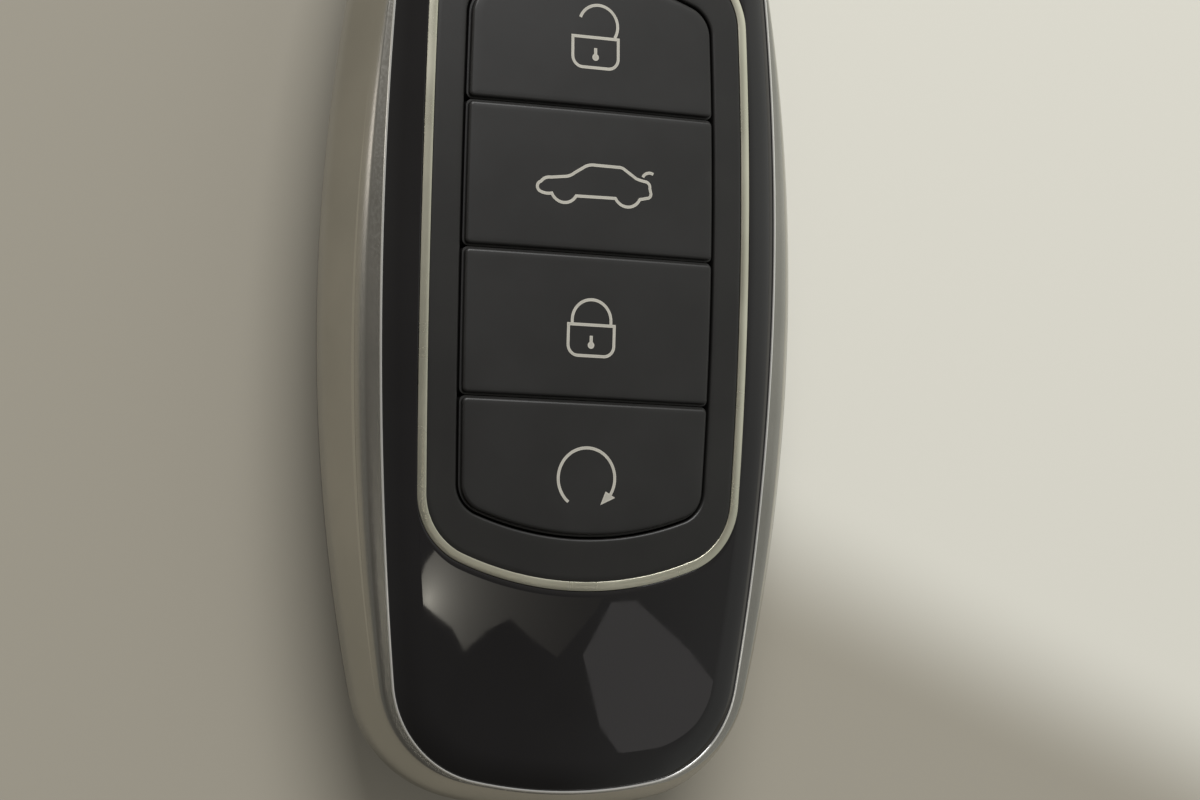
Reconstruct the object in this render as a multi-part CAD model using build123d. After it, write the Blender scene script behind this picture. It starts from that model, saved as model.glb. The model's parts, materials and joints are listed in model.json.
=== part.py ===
from build123d import *
import math
import os
from dataclasses import dataclass, replace

# A car key fob with four push buttons, a coin cell and an emergency key blade.
# Millimetres. X runs across the fob, +Y towards the key ring, +Z out of the button face.
# The rear face lies on Z = 0 and the origin is the middle of the whole fob's footprint.


def mirrored(point):
    """The same point on the other side of X = 0."""
    return Vector(-point.X, point.Y)


@dataclass(frozen=True)
class Outline:
    """A closed plan outline of eight tangent arcs, alike on both sides of X = 0."""

    half_width: float
    bottom: float
    top: float
    side_radius: float
    side_centre: float
    end_radius: float
    corner_radius: float

    def inset(self, distance):
        """The same outline moved inwards everywhere by one distance, or outwards if negative."""
        return replace(
            self,
            half_width=self.half_width - distance,
            bottom=self.bottom - distance,
            top=self.top - distance,
            side_radius=self.side_radius - distance,
            end_radius=self.end_radius - distance,
            corner_radius=self.corner_radius - distance,
        )

    def corner(self, sign, reach):
        """The centre, side tangent, middle and end tangent of one right-hand corner arc."""
        side = Vector(self.half_width - self.side_radius, self.side_centre)
        end = Vector(0, sign * (reach - self.end_radius))
        from_side = self.side_radius - self.corner_radius
        from_end = self.end_radius - self.corner_radius
        apart = end - side
        along = (from_side**2 - from_end**2 + apart.length**2) / (2 * apart.length)
        across = math.sqrt(from_side**2 - along**2)
        forward = apart.normalized()
        outward = Vector(-forward.Y, forward.X) * sign
        centre = side + forward * along + outward * across
        to_side = (centre - side).normalized()
        to_end = (centre - end).normalized()
        to_middle = (to_side + to_end).normalized()
        return [centre + way * self.corner_radius for way in (to_side, to_middle, to_end)]

    def face(self, height):
        """The outline as a flat face at one height."""
        low_side, low_middle, low_end = self.corner(-1, self.bottom)
        top_side, top_middle, top_end = self.corner(1, self.top)
        right = Vector(self.half_width, self.side_centre)
        arcs = [
            ThreePointArc(low_side, right, top_side),
            ThreePointArc(top_side, top_middle, top_end),
            ThreePointArc(top_end, Vector(0, self.top), mirrored(top_end)),
            ThreePointArc(mirrored(top_end), mirrored(top_middle), mirrored(top_side)),
            ThreePointArc(mirrored(top_side), mirrored(right), mirrored(low_side)),
            ThreePointArc(mirrored(low_side), mirrored(low_middle), mirrored(low_end)),
            ThreePointArc(mirrored(low_end), Vector(0, -self.bottom), low_end),
            ThreePointArc(low_end, low_middle, low_side),
        ]
        return Pos(0, 0, height) * make_face(arcs)

    def prism(self, low, high):
        """The outline carried straight up between two heights."""
        return extrude(self.face(low), high - low)


def arc_drop(radius, reach):
    """How far an arc has fallen away from its tangent at this distance along it."""
    return radius - math.sqrt(radius**2 - reach**2)


# Clearances
press_gap = 0.03  # between pieces that are clipped or glued together
slide_gap = 0.15  # round the sliding key and the parts that lift off
board_gap = 0.3  # round the circuit board and over the cell
floor_gap = 0.2  # between the rear cover's floor and the carrier
travel_gap = 0.1  # left under a button that is pressed right down, and over its flange
overrun = 1.0  # how far a cut runs past the piece that it cuts

# Plan of the well that holds the buttons
button_pitch = 11.62
end_cap_trim = 0.74  # the end caps are this much shorter at the middle
well_half_width = 10.81
well_side_radius = 577.0
well_end_radius = 24.6
well_corner_radius = 2.6

# Plan of the inlay ring's outer edge
bezel_side_width = 3.19  # from the well to the ring's outer edge
bezel_end_width = 4.1
inlay_side_radius = 529.0
inlay_end_radius = 26.3
inlay_corner_radius = 5.9

# Plan of the front cover's edge
cover_side_width = 2.69  # outside the inlay ring
cover_top_length = 10.6
cover_bottom_length = 15.7
face_side_centre = 0.2
face_end_radius = 37.2

# Plan of the body at its waist, the widest level
frame_side_width = 3.31  # outside the front cover, at the widest place
frame_shoulder_width = 1.464  # the same where the top corners begin
frame_end_width = 1.7
frame_corner_step = 1.9  # the waist's corners are rounder than the cover's by this much
waist_side_radius = 150.0
waist_side_centre = -3.0
waist_end_radius = 38.0
waist_corner_radius = 10.5

# Heights
seam_drop = 1.7  # from the board's top to the seam between the rear cover and the side frame
waist_rise = 2.2  # from that seam to the waist
guide_depth = 2.3  # wall under the button bezel that guides the caps
cap_rise = 0.3  # the button caps stand this far above the bezel

# Curvature of the button face
arch_radius = 377.0  # lengthwise
crown_radius = 200.0  # crosswise

# Front cover
shoulder_radius = 3.85  # rounding towards the side frame
shoulder_width = 2.4  # how much of that rounding lies inside the cover's edge
plate_thickness = 1.4
cover_wall = 1.3
boss_radius = 1.9

# Side frame
crescent_width = 1.45  # flat strip between the cover's edge and the side wall, at its widest
end_land = 0.3  # the same strip at both ends
lip_width = 0.2  # polished lip round the front cover
lip_rise = 0.1
wall_straightness_share = 0.67  # 1 would be a straight side wall
wall_bands = 3
frame_wall = 1.4  # wall outside the rear cover's tongue

# Rear cover
rear_inset = 6.0  # from the waist to the edge of the flat rear face
rear_roundness = 2.4  # exponent of the rounded lower wall
rear_floor = 1.5
rear_wall = 2.4
tongue_rise = 1.0
seal_height = 0.6
rear_level_shares = [0.0, 0.3, 0.58, 0.78, 0.91, 0.978, 1.0]  # from the seam to the rear face

# Inlay ring and button bezel
inlay_width = 0.72
inlay_rise = 0.04
bezel_flange = 0.8
bezel_flange_thickness = 1.0
guide_wall = 0.8

# Buttons
button_travel = 0.45
cap_gap = 0.32  # round the caps
cap_spacing = 0.36  # between neighbouring caps
cap_edge_radius = 0.25
cap_flange = 0.5
cap_flange_thickness = 0.55
cap_wall = 1.0
cap_plate = 1.5
post_radius = 1.9
dome_height = 1.8
dome_radius = 2.4
dome_top_radius = 1.8
dome_gap = 0.3

# Circuit board and what it carries
carrier_gap = 0.59  # inside the front cover's wall
board_thickness = 0.8
board_end_gap = 1.4  # short of the key's head
switch_size = 4.5
switch_body_height = 1.1
switch_plunger_radius = 1.2
switch_plunger_height = 0.4
membrane_margin = 0.9  # outside the well
membrane_rise = 1.2
membrane_thickness = 0.5
chip_gap = 0.5  # between the membrane and the chips
chip_edge = 0.25
controller_size = (6.0, 6.0, 0.9)
controller_side = 0.0
radio_size = (4.0, 4.0, 0.8)
radio_side = -5.6
crystal_size = (3.2, 2.5, 0.8)
crystal_side = 5.4
capacitor_size = (0.8, 1.6, 0.8)
capacitor_margin = 1.6
capacitor_pitch = 5.0
capacitor_rows = 3
aerial_size = 9.0
aerial_height = 2.8
aerial_flange = 0.7
aerial_core_radius = 2.6
aerial_winding_radius = 4.0
aerial_margin = 1.7

# Screws
screw_side_margin = 7.49  # inside the front cover's edge
screw_top_margin = 3.6  # outside the inlay ring
screw_bottom_margin = 6.6
screw_shank_radius = 0.8
screw_head_radius = 1.5
screw_head_height = 1.0
screw_head_sink = 0.3
screw_grip = 1.9  # length that bites into the front cover's boss
screw_slot_width = 0.4
screw_slot_depth = 0.4

# Coin cell, its contacts and its door
cell_radius = 10.0
cell_thickness = 3.2
cell_end_margin = 15.25  # from the waist's lower end to the cell's pocket
cell_lift = 0.5  # over the rear cover's floor
cell_roof = 1.7  # between the cell and the board
cell_step = 1.1  # the smaller negative cap
cell_step_height = 0.4
cell_gap = 0.25
contact_thickness = 0.25
contact_width = 4.0
contact_reach = 6.0
door_margin = 1.4  # outside the cell
door_plug_margin = 0.6
door_pad_inset = 1.5  # inside the cell
door_recess = 0.15
door_step = 0.75
coin_slot_length = 13.0
coin_slot_width = 1.8
coin_slot_depth = 0.5

# Emergency key
head_half_width = 8.0
head_thickness = 6.0
head_drop = 0.4  # below the blade
head_gap = 0.7  # between the carrier and the head
head_reach = 5.1  # beyond the waist's upper end
head_end_radius = 9.5
head_edge_radius = 1.1
ring_hole_radius = 1.7
ring_hole_margin = 2.8  # from the end of the head to the hole's middle
blade_half_width = 3.5
blade_thickness = 2.0
blade_lift = 1.3  # over the carrier's underside
blade_root_margin = 5.4
blade_stop = 1.75  # wall between the cell and the blade's channel
blade_point = 2.4
blade_groove_width = 1.6
blade_groove_depth = 0.55
pin_radius = 0.9
pin_margin = 2.2

# Key release button
release_side_margin = 5.2  # inside the carrier's edge
release_end_margin = 19.4  # below the waist's upper end
release_length = 7.0
release_width = 4.2
release_recess = 0.2
release_travel = 0.8
release_flange = 0.6
release_flange_thickness = 0.65
release_corner = 1.0
release_catch_width = 2.0
release_catch_thickness = 1.0
release_stem_radius = 0.9
release_stem_height = 1.0
spring_radius = 1.5
spring_wire = 0.3
spring_turns = 4

# Button legends
stroke = 0.24
legend_depth = 0.1
legend_rise = 0.02
legend_side = 0.08
legend_shifts = {"unlock": -0.24, "trunk": -0.36, "lock": 0.0, "start": -0.33}
padlock_half_width = 1.95
padlock_height = 2.45
padlock_corner = 0.85
padlock_top = 0.14  # top of the padlock's body above the legend's middle
shackle_radius = 1.65
shackle_leg = 0.35
open_shackle_shift = 0.25
open_shackle_rise = 1.0
open_shackle_start = 160.0  # degrees
open_shackle_end = -37.0
keyhole_radius = 0.28
keyhole_stem = 0.75
keyhole_stem_width = 0.26
car_length = 9.6
car_height = 3.3
car_outline_shares = [  # start and middle of each stretch; no middle means straight
    ((-0.95, -0.49), (-1.00, -0.32)),
    ((-0.94, -0.01), (-0.88, 0.15)),
    ((-0.77, 0.22), None),
    ((-0.50, 0.32), (-0.41, 0.41)),
    ((-0.35, 0.53), None),
    ((-0.17, 0.86), (-0.09, 0.95)),
    ((0.01, 0.97), None),
    ((0.43, 0.96), (0.49, 0.94)),
    ((0.54, 0.87), None),
    ((0.75, 0.48), (0.84, 0.41)),
    ((0.92, 0.37), (0.98, 0.28)),
    ((1.00, 0.06), None),
    ((1.02, -0.17), (1.01, -0.33)),
    ((0.95, -0.43), None),
    ((0.82, -0.52), (0.62, -0.93)),
    ((0.38, -0.56), None),
    ((-0.32, -0.59), (-0.52, -0.95)),
    ((-0.75, -0.54), (-0.86, -0.56)),
]
car_lid_shares = [(0.87, 0.58), (0.95, 0.79), (1.06, 0.76)]
arrow_radius = 2.4
arrow_start = -128.0  # degrees
arrow_end = -30.0
arrow_head_length = 1.2
arrow_head_half_width = 0.48

# Heights worked out from the sizes above, from the rear face up to the buttons
carrier_base = rear_floor + floor_gap
cell_base = rear_floor + cell_lift
board_base = cell_base + cell_thickness + cell_roof
board_top = board_base + board_thickness
seam_height = board_top - seam_drop
waist_height = seam_height + waist_rise
dome_base = board_top + switch_body_height + switch_plunger_height
membrane_top = board_top + membrane_rise + membrane_thickness
cap_base = membrane_top + travel_gap + button_travel
guide_height = cap_base + cap_flange_thickness + travel_gap
plate_underside = guide_height + guide_depth
crown_height = plate_underside + plate_thickness  # top of the bezel, carried over the well
cap_crown = crown_height + cap_rise

# Outlines worked out from the buttons outwards; the cover's side arc keeps the frame's shoulder width
well_half_length = 2 * button_pitch - end_cap_trim
inlay_half_width = well_half_width + bezel_side_width
inlay_half_length = well_half_length + bezel_end_width
face_half_width = inlay_half_width + cover_side_width
face_bottom = inlay_half_length + cover_bottom_length
face_top = inlay_half_length + cover_top_length
face_corner_radius = waist_corner_radius - frame_corner_step
waist_half_width = face_half_width + frame_side_width
waist_bottom = face_bottom + frame_end_width
waist_top = face_top + frame_end_width
shoulder_place = face_top - face_corner_radius
shoulder_drop = frame_shoulder_width - frame_side_width
shoulder_drop += arc_drop(waist_side_radius, shoulder_place - waist_side_centre)
shoulder_reach = shoulder_place - face_side_centre
face_side_radius = (shoulder_reach**2 + shoulder_drop**2) / (2 * shoulder_drop)
waist = Outline(
    waist_half_width, waist_bottom, waist_top,
    waist_side_radius, waist_side_centre, waist_end_radius, waist_corner_radius,
)
face_edge = Outline(
    face_half_width, face_bottom, face_top,
    face_side_radius, face_side_centre, face_end_radius, face_corner_radius,
)
inlay_edge = Outline(
    inlay_half_width, inlay_half_length, inlay_half_length,
    inlay_side_radius, 0, inlay_end_radius, inlay_corner_radius,
)
well_edge = Outline(
    well_half_width, well_half_length, well_half_length,
    well_side_radius, 0, well_end_radius, well_corner_radius,
)
carrier_edge = waist.inset(frame_side_width + cover_wall + carrier_gap)
frame_crown = crown_height - arc_drop(shoulder_radius, shoulder_width)
crease_half_width = face_half_width + crescent_width
crease_height = frame_crown - crease_half_width**2 / (2 * crown_radius)
tongue_top = seam_height + tongue_rise
skirt_height = tongue_top + seal_height
cell_place = cell_end_margin + cell_gap + cell_radius - waist_bottom
head_end = waist_top + head_reach
screw_side = face_half_width - screw_side_margin
blade_base = carrier_base + blade_lift
blade_top = blade_base + blade_thickness
blade_tip = cell_place + cell_radius + cell_gap + blade_stop
blade_root = head_end - blade_root_margin
head_base = blade_base - head_drop
head_top = head_base + head_thickness
head_inner_end = carrier_edge.top + head_gap
ring_hole_place = head_end - ring_hole_margin
pin_place = head_inner_end + pin_margin
door_radius = cell_radius + door_margin
door_plug_radius = cell_radius + door_plug_margin
release_side = release_side_margin - carrier_edge.half_width
release_middle = waist_top - release_end_margin
release_base = rear_floor + press_gap
release_top = release_base + release_flange_thickness
spring_seat = board_base - board_thickness
button_middles = {
    "unlock": 1.5 * button_pitch,
    "trunk": 0.5 * button_pitch,
    "lock": -0.5 * button_pitch,
    "start": -1.5 * button_pitch,
}


def under_crown(height):
    """Everything below the crowned and arched button surface whose top is at this height."""
    axis_height = crown_height - arch_radius
    radius = crown_radius + height - crown_height
    reach = waist_half_width + overrun
    edge_height = height - arc_drop(radius, reach)
    swing = math.degrees(math.asin((waist_bottom + overrun) / (arch_radius - crown_height)))
    section = Plane.XZ * make_face([
        ThreePointArc((-reach, edge_height), (0, height), (reach, edge_height)),
        Line((reach, edge_height), (reach, -waist_height)),
        Line((reach, -waist_height), (-reach, -waist_height)),
        Line((-reach, -waist_height), (-reach, edge_height)),
    ])
    axis = Axis((0, 0, axis_height), (1, 0, 0))
    return revolve(section.rotate(axis, -swing), axis, 2 * swing)


def arch_drop(y):
    """How far the button surface has dropped at this distance along the fob."""
    return y**2 / (2 * arch_radius)


def flare_share(height):
    """Share of the side wall's flare that is left above the waist at one height."""
    share = (height - waist_height) / (crease_height - waist_height)
    return share * (wall_straightness_share + (1 - wall_straightness_share) * share)


def end_flare(waist_reach, face_reach):
    """Flare that leaves the end land outside the cover where the cover's edge dips to."""
    edge_height = frame_crown - arch_drop(face_reach)
    return (waist_reach - face_reach - end_land) / flare_share(edge_height)


def skin(height):
    """Outline of the fob's outer skin at one height."""
    if height >= waist_height:
        share = flare_share(height)
        side = (waist.half_width - crease_half_width) * share
        return replace(
            waist,
            half_width=waist.half_width - side,
            bottom=waist.bottom - end_flare(waist.bottom, face_edge.bottom) * share,
            top=waist.top - end_flare(waist.top, face_edge.top) * share,
            corner_radius=waist.corner_radius - side,
        )
    drop = 1 - height / waist_height
    round_share = (1 - drop**rear_roundness) ** (1 / rear_roundness)
    return waist.inset(rear_inset * (1 - round_share))


def skin_stack(heights, inset=0.0):
    """The body between the first and last height, inside the outer skin by an inset."""
    return loft([skin(height).inset(inset).face(height) for height in heights], ruled=True)


def box_between(low, high):
    """A box from its lowest to its highest corner."""
    size = [b - a for a, b in zip(low, high)]
    middle = [(a + b) / 2 for a, b in zip(low, high)]
    return Pos(*middle) * Box(*size)


def post(x, y, low, high, radius):
    """An upright cylinder between two heights."""
    return Pos(x, y, low) * Cylinder(radius, high - low, align=(Align.CENTER, Align.CENTER, Align.MIN))


def chip(size, side):
    """A moulded chip on the board beside the membrane, with bevelled top edges."""
    width, length, height = size
    near = well_half_length + membrane_margin + chip_gap
    low = (side - width / 2, near, board_top)
    body = box_between(low, (side + width / 2, near + length, board_top + height))
    return chamfer(body.faces().sort_by(Axis.Z)[-1].edges(), chip_edge)


def screw_centres():
    """Places of the four case screws."""
    top = inlay_half_length + screw_top_margin
    bottom = -inlay_half_length - screw_bottom_margin
    return [(side, y) for y in (top, bottom) for side in (screw_side, -screw_side)]


def key_port():
    """The opening at the top end that the key's head slides into."""
    side = head_half_width + slide_gap
    return box_between(
        (-side, head_inner_end - board_gap, head_base - slide_gap),
        (side, head_end + overrun, head_top + slide_gap),
    )


# Shell


def front_cover():
    """Gloss cover round the inlay ring, with a skirt and four screw bosses."""
    overhang = shoulder_radius - shoulder_width
    blank = face_edge.inset(-overhang).prism(skirt_height - shoulder_radius, crown_height + overrun)
    blank &= under_crown(crown_height)
    rim = blank.faces().sort_by(Axis.Z)[-1].edges()
    blank = fillet(rim, shoulder_radius)
    body = blank & face_edge.prism(skirt_height, crown_height + overrun)
    underside = under_crown(plate_underside)
    body -= face_edge.inset(cover_wall).prism(skirt_height - overrun, crown_height) & underside
    for x, y in screw_centres():
        body += post(x, y, board_top, plate_underside, boss_radius) & underside
        body -= post(x, y, board_top - overrun, board_top + screw_grip + overrun, screw_shank_radius)
    body -= inlay_edge.inset(-press_gap).prism(skirt_height, crown_height + overrun)
    return body - key_port()


def side_frame():
    """Plated frame round the body, from the rear seam up to the polished lip."""
    top = frame_crown + lip_rise
    band = (top - waist_height) / wall_bands
    outside = skin_stack([seam_height] + [waist_height + band * count for count in range(wall_bands + 1)])
    lip = face_edge.inset(-press_gap - lip_width).prism(waist_height, top)
    body = outside & under_crown(frame_crown)
    body += lip & outside & under_crown(top)
    body -= face_edge.inset(-press_gap).prism(seam_height - overrun, crown_height)
    body -= skin(seam_height).inset(frame_wall).prism(seam_height - overrun, skirt_height)
    return body - key_port()


def rear_cover():
    """Rear pan with a tongue for the frame, the cell door opening and the release slot."""
    heights = [seam_height * (1 - share) for share in rear_level_shares]
    body = skin_stack(heights)
    tongue = skin(seam_height).inset(frame_wall + press_gap)
    body += tongue.prism(seam_height - tongue_rise, tongue_top)
    hollow = [height for height in heights if height > rear_floor] + [rear_floor]
    body -= skin_stack(hollow, rear_wall)
    body -= skin(seam_height).inset(rear_wall).prism(seam_height, tongue_top + overrun)
    body -= post(0, cell_place, -overrun, door_recess + door_step, door_radius)
    body -= post(0, cell_place, -overrun, rear_floor + overrun, door_plug_radius)
    slot = extrude(release_blank(slide_gap), rear_floor + 2 * overrun)
    body -= Pos(release_side, release_middle, -overrun) * slot
    return body - key_port()


def case_seal():
    """Soft ring squeezed between the rear cover's tongue and the side frame."""
    ring = skin(seam_height).inset(frame_wall + press_gap).prism(tongue_top, skirt_height)
    inside = skin(seam_height).inset(rear_wall).prism(tongue_top, skirt_height)
    return ring - inside - key_port()


def inlay_ring():
    """Bright ring let into the face round the bezel."""
    ring = inlay_edge.prism(skirt_height, crown_height + overrun) & under_crown(crown_height + inlay_rise)
    ring -= inlay_edge.inset(inlay_width).prism(skirt_height, crown_height + overrun)
    return ring - under_crown(plate_underside)


def button_bezel():
    """Satin panel inside the ring, with the button well and the wall that guides the caps."""
    plug = inlay_edge.inset(inlay_width + press_gap).prism(guide_height, crown_height + overrun)
    flange = inlay_edge.inset(-bezel_flange).prism(guide_height, crown_height)
    body = (plug & under_crown(crown_height)) + (flange & under_crown(plate_underside))
    body -= under_crown(plate_underside - bezel_flange_thickness)
    guide = well_edge.inset(-guide_wall).prism(guide_height, crown_height)
    body += guide & under_crown(plate_underside)
    return body - well_edge.prism(guide_height - overrun, crown_height + overrun)


# Buttons


def button_span(name):
    """The lowest and highest Y of one button cap."""
    middle = button_middles[name]
    low, high = middle - button_pitch / 2, middle + button_pitch / 2
    low = -waist_bottom if name == "start" else low + cap_spacing / 2
    high = waist_top if name == "unlock" else high - cap_spacing / 2
    return low, high


def button_cap(name):
    """One cap: crowned top, hollow underside, side flanges and the post over its dome."""
    low, high = button_span(name)
    reach = waist_half_width
    span = box_between((-reach, low, 0), (reach, high, crown_height + overrun))
    upper = well_edge.inset(cap_gap).prism(cap_base, cap_crown + overrun) & span & under_crown(cap_crown)
    upper = fillet(upper.faces().sort_by(Axis.Z)[-1].edges(), cap_edge_radius)
    flange = well_edge.inset(-cap_flange).prism(cap_base, cap_base + cap_flange_thickness) & span
    hollow_span = box_between((-reach, low + cap_wall, 0), (reach, high - cap_wall, crown_height))
    hollow = well_edge.inset(cap_gap + cap_wall).prism(cap_base - overrun, crown_height)
    hollow = hollow & hollow_span & under_crown(cap_crown - cap_plate)
    middle = button_middles[name]
    stem = post(0, middle, dome_base + dome_height, cap_crown - cap_plate, post_radius)
    body = (upper + flange - hollow) + (stem & under_crown(cap_crown - cap_plate))
    return body - legend_block(name)


def legend_block(name):
    """The legend's strokes from the bottom of their recess to above the cap."""
    place = Pos(legend_side, button_middles[name] + legend_shifts[name], cap_crown - cap_plate)
    block = place * extrude(legend_shapes[name](), cap_plate + overrun)
    return block - under_crown(cap_crown - legend_depth)


def button_legend(name):
    """The pale symbol let into one cap."""
    return legend_block(name) & under_crown(cap_crown + legend_rise)


def button_dome(name):
    """The silicone dome between a switch and the cap's post."""
    upright = (Align.CENTER, Align.CENTER, Align.MIN)
    cone = Cone(dome_radius, dome_top_radius, dome_height, align=upright)
    return Pos(0, button_middles[name], dome_base) * cone


# Legends


def padlock_body():
    """Outline of a padlock's body, square above and rounded below, with its keyhole."""
    half, high, low = padlock_half_width, padlock_top, padlock_top - padlock_height
    corner = padlock_corner
    bend = corner * (1 - math.sqrt(0.5))
    outline = [
        Line((-half, high), (half, high)),
        Line((half, high), (half, low + corner)),
        ThreePointArc((half, low + corner), (half - bend, low + bend), (half - corner, low)),
        Line((half - corner, low), (corner - half, low)),
        ThreePointArc((corner - half, low), (bend - half, low + bend), (-half, low + corner)),
        Line((-half, low + corner), (-half, high)),
    ]
    middle = (high + low) / 2
    stem = Pos(0, middle) * Rectangle(keyhole_stem_width, keyhole_stem)
    ball = Pos(0, middle - keyhole_stem / 2) * Circle(keyhole_radius)
    return trace(outline, stroke) + stem + ball


def lock_shape():
    """Closed padlock."""
    radius, foot = shackle_radius, padlock_top
    spring = foot + shackle_leg
    shackle = [
        Line((-radius, foot), (-radius, spring)),
        ThreePointArc((-radius, spring), (0, spring + radius), (radius, spring)),
        Line((radius, spring), (radius, foot)),
    ]
    return padlock_body() + trace(shackle, stroke)


def unlock_shape():
    """Padlock with its shackle swung open."""
    middle = (open_shackle_shift, padlock_top + open_shackle_rise)
    swing = open_shackle_end - open_shackle_start
    shackle = CenterArc(middle, shackle_radius, open_shackle_start, swing)
    return padlock_body() + trace([shackle], stroke)


def car_point(shares):
    """A point of the car symbol from its shares of the half length and half height."""
    return (shares[0] * car_length / 2, shares[1] * car_height / 2)


def trunk_shape():
    """Side view of a car with its boot lid lifted."""
    outline = []
    following = car_outline_shares[1:] + car_outline_shares[:1]
    for (start, middle), (end, _) in zip(car_outline_shares, following):
        if middle is None:
            outline.append(Line(car_point(start), car_point(end)))
        else:
            outline.append(ThreePointArc(car_point(start), car_point(middle), car_point(end)))
    lid = ThreePointArc(*[car_point(shares) for shares in car_lid_shares])
    return trace(outline, stroke) + trace([lid], stroke)


def arrow_point(angle, radius):
    """A point of the circular arrow by its angle in degrees."""
    return (radius * math.cos(math.radians(angle)), radius * math.sin(math.radians(angle)))


def start_shape():
    """Circular arrow open at the bottom."""
    ring = CenterArc((0, 0), arrow_radius, arrow_start, arrow_end - arrow_start - 360)
    tip_angle = arrow_end - math.degrees(arrow_head_length / arrow_radius)
    head = make_face(Polyline(
        arrow_point(arrow_end, arrow_radius - arrow_head_half_width),
        arrow_point(arrow_end, arrow_radius + arrow_head_half_width),
        arrow_point(tip_angle, arrow_radius),
        close=True,
    ))
    return trace([ring], stroke) + head


legend_shapes = {"unlock": unlock_shape, "trunk": trunk_shape, "lock": lock_shape, "start": start_shape}


# Circuit board and what sits on it


def inner_carrier():
    """Plastic carrier with the cell pocket, the key channel and the screw holes."""
    body = carrier_edge.prism(carrier_base, board_base)
    pocket_top = cell_base + cell_thickness + board_gap
    body -= post(0, cell_place, carrier_base - overrun, pocket_top, cell_radius + cell_gap)
    body -= post(0, cell_place, carrier_base - overrun, cell_base, door_plug_radius)
    side = blade_half_width + slide_gap
    body -= box_between(
        (-side, blade_tip - board_gap, blade_base - slide_gap),
        (side, carrier_edge.top + overrun, blade_top + slide_gap),
    )
    for x, y in screw_centres():
        seat = carrier_base + screw_head_sink + screw_head_height
        body -= post(x, y, carrier_base - overrun, board_base + overrun, screw_shank_radius + press_gap)
        body -= post(x, y, carrier_base - overrun, seat, screw_head_radius + press_gap)
    body -= release_pocket()
    return body - contact_slots()


def circuit_board():
    """Board with the screw holes, cut off square short of the key's head."""
    body = carrier_edge.prism(board_base, board_top)
    end = head_inner_end - board_end_gap
    body &= box_between((-waist_half_width, -waist_bottom, 0), (waist_half_width, end, crown_height))
    for x, y in screw_centres():
        body -= post(x, y, board_base - overrun, board_top + overrun, screw_shank_radius + press_gap)
    return body


def tact_switches():
    """One tact switch under each button."""
    half = switch_size / 2
    switches = []
    for y in button_middles.values():
        body = box_between((-half, y - half, board_top), (half, y + half, board_top + switch_body_height))
        body = chamfer(body.edges().filter_by(Axis.Z), chip_edge)
        switches.append(body + post(0, y, board_top, dome_base, switch_plunger_radius))
    return Compound(children=switches)


def keypad_membrane():
    """Silicone sheet on a rim, open round each dome."""
    body = well_edge.inset(-membrane_margin).prism(board_top, membrane_top)
    body -= well_edge.prism(board_top - overrun, board_top + membrane_rise)
    for y in button_middles.values():
        body -= post(0, y, board_top, membrane_top + overrun, dome_radius + dome_gap)
    return body


def chip_capacitors():
    """Small capacitors in a row along each side of the board."""
    rows = [(row - (capacitor_rows - 1) / 2) * capacitor_pitch for row in range(capacitor_rows)]
    side = carrier_edge.half_width - capacitor_margin
    width, length, height = capacitor_size
    block = box_between((-width / 2, -length / 2, 0), (width / 2, length / 2, height))
    return Compound(children=[Pos(x, y, board_top) * block for x in (-side, side) for y in rows])


def aerial_middle():
    """Y of the aerial, near the board's lower end."""
    return aerial_margin + aerial_size / 2 - carrier_edge.bottom


def aerial_core():
    """Ferrite bobbin of the low frequency aerial."""
    y = aerial_middle()
    half = aerial_size / 2
    base = box_between((-half, y - half, board_top), (half, y + half, board_top + aerial_flange))
    lid = Pos(0, 0, aerial_height - aerial_flange) * base
    body = base + lid + post(0, y, board_top, board_top + aerial_height, aerial_core_radius)
    return chamfer(body.edges().filter_by(Axis.Z).filter_by(GeomType.LINE), chip_edge)


def aerial_winding():
    """Copper winding between the bobbin's flanges."""
    y = aerial_middle()
    low, high = board_top + aerial_flange, board_top + aerial_height - aerial_flange
    return post(0, y, low, high, aerial_winding_radius) - post(0, y, low, high, aerial_core_radius)


def case_screws():
    """Four screws through the carrier and the board into the front cover's bosses."""
    screws = []
    for x, y in screw_centres():
        low = carrier_base + screw_head_sink
        screw = post(x, y, low, low + screw_head_height, screw_head_radius)
        screw += post(x, y, low, board_top + screw_grip, screw_shank_radius)
        slot = Box(screw_head_radius * 2, screw_slot_width, screw_slot_depth * 2)
        screws.append(screw - Pos(x, y, low) * (slot + Rot(0, 0, 90) * slot))
    return Compound(children=screws)


# Coin cell


def coin_cell():
    """Standard 20 mm coin cell, its smaller negative cap towards the board."""
    shoulder = cell_base + cell_thickness - cell_step_height
    body = post(0, cell_place, cell_base, shoulder, cell_radius)
    return body + post(0, cell_place, shoulder, cell_base + cell_thickness, cell_radius - cell_step)


def contact_slots():
    """Slots in the carrier that the two cell contacts pass through."""
    half = contact_width / 2 + press_gap
    edge = cell_place - cell_radius - cell_gap
    negative = box_between(
        (-half, cell_place - half, cell_base + cell_thickness),
        (half, cell_place + contact_reach, board_base),
    )
    positive = box_between(
        (-half, edge - contact_width / 2, cell_base),
        (half, edge + cell_gap, board_base),
    )
    return negative + positive


def cell_contact_negative():
    """Strip that presses on the cell's negative cap, bent up to the board."""
    half = contact_width / 2
    low = cell_base + cell_thickness
    near, far = cell_place - half + press_gap, cell_place + contact_reach - press_gap
    strip = box_between((-half, near, low), (half, far, low + contact_thickness))
    leg = box_between((-half, far - contact_thickness, low), (half, far, board_base))
    return strip + leg


def cell_contact_positive():
    """Strip along the cell's rim, bent out under the board."""
    half = contact_width / 2
    rim = cell_place - cell_radius
    high = board_base
    leg = box_between((-half, rim - contact_thickness, cell_base), (half, rim, high))
    foot = box_between(
        (-half, rim - contact_width / 2, high - contact_thickness),
        (half, rim, high),
    )
    return leg + foot


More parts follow.
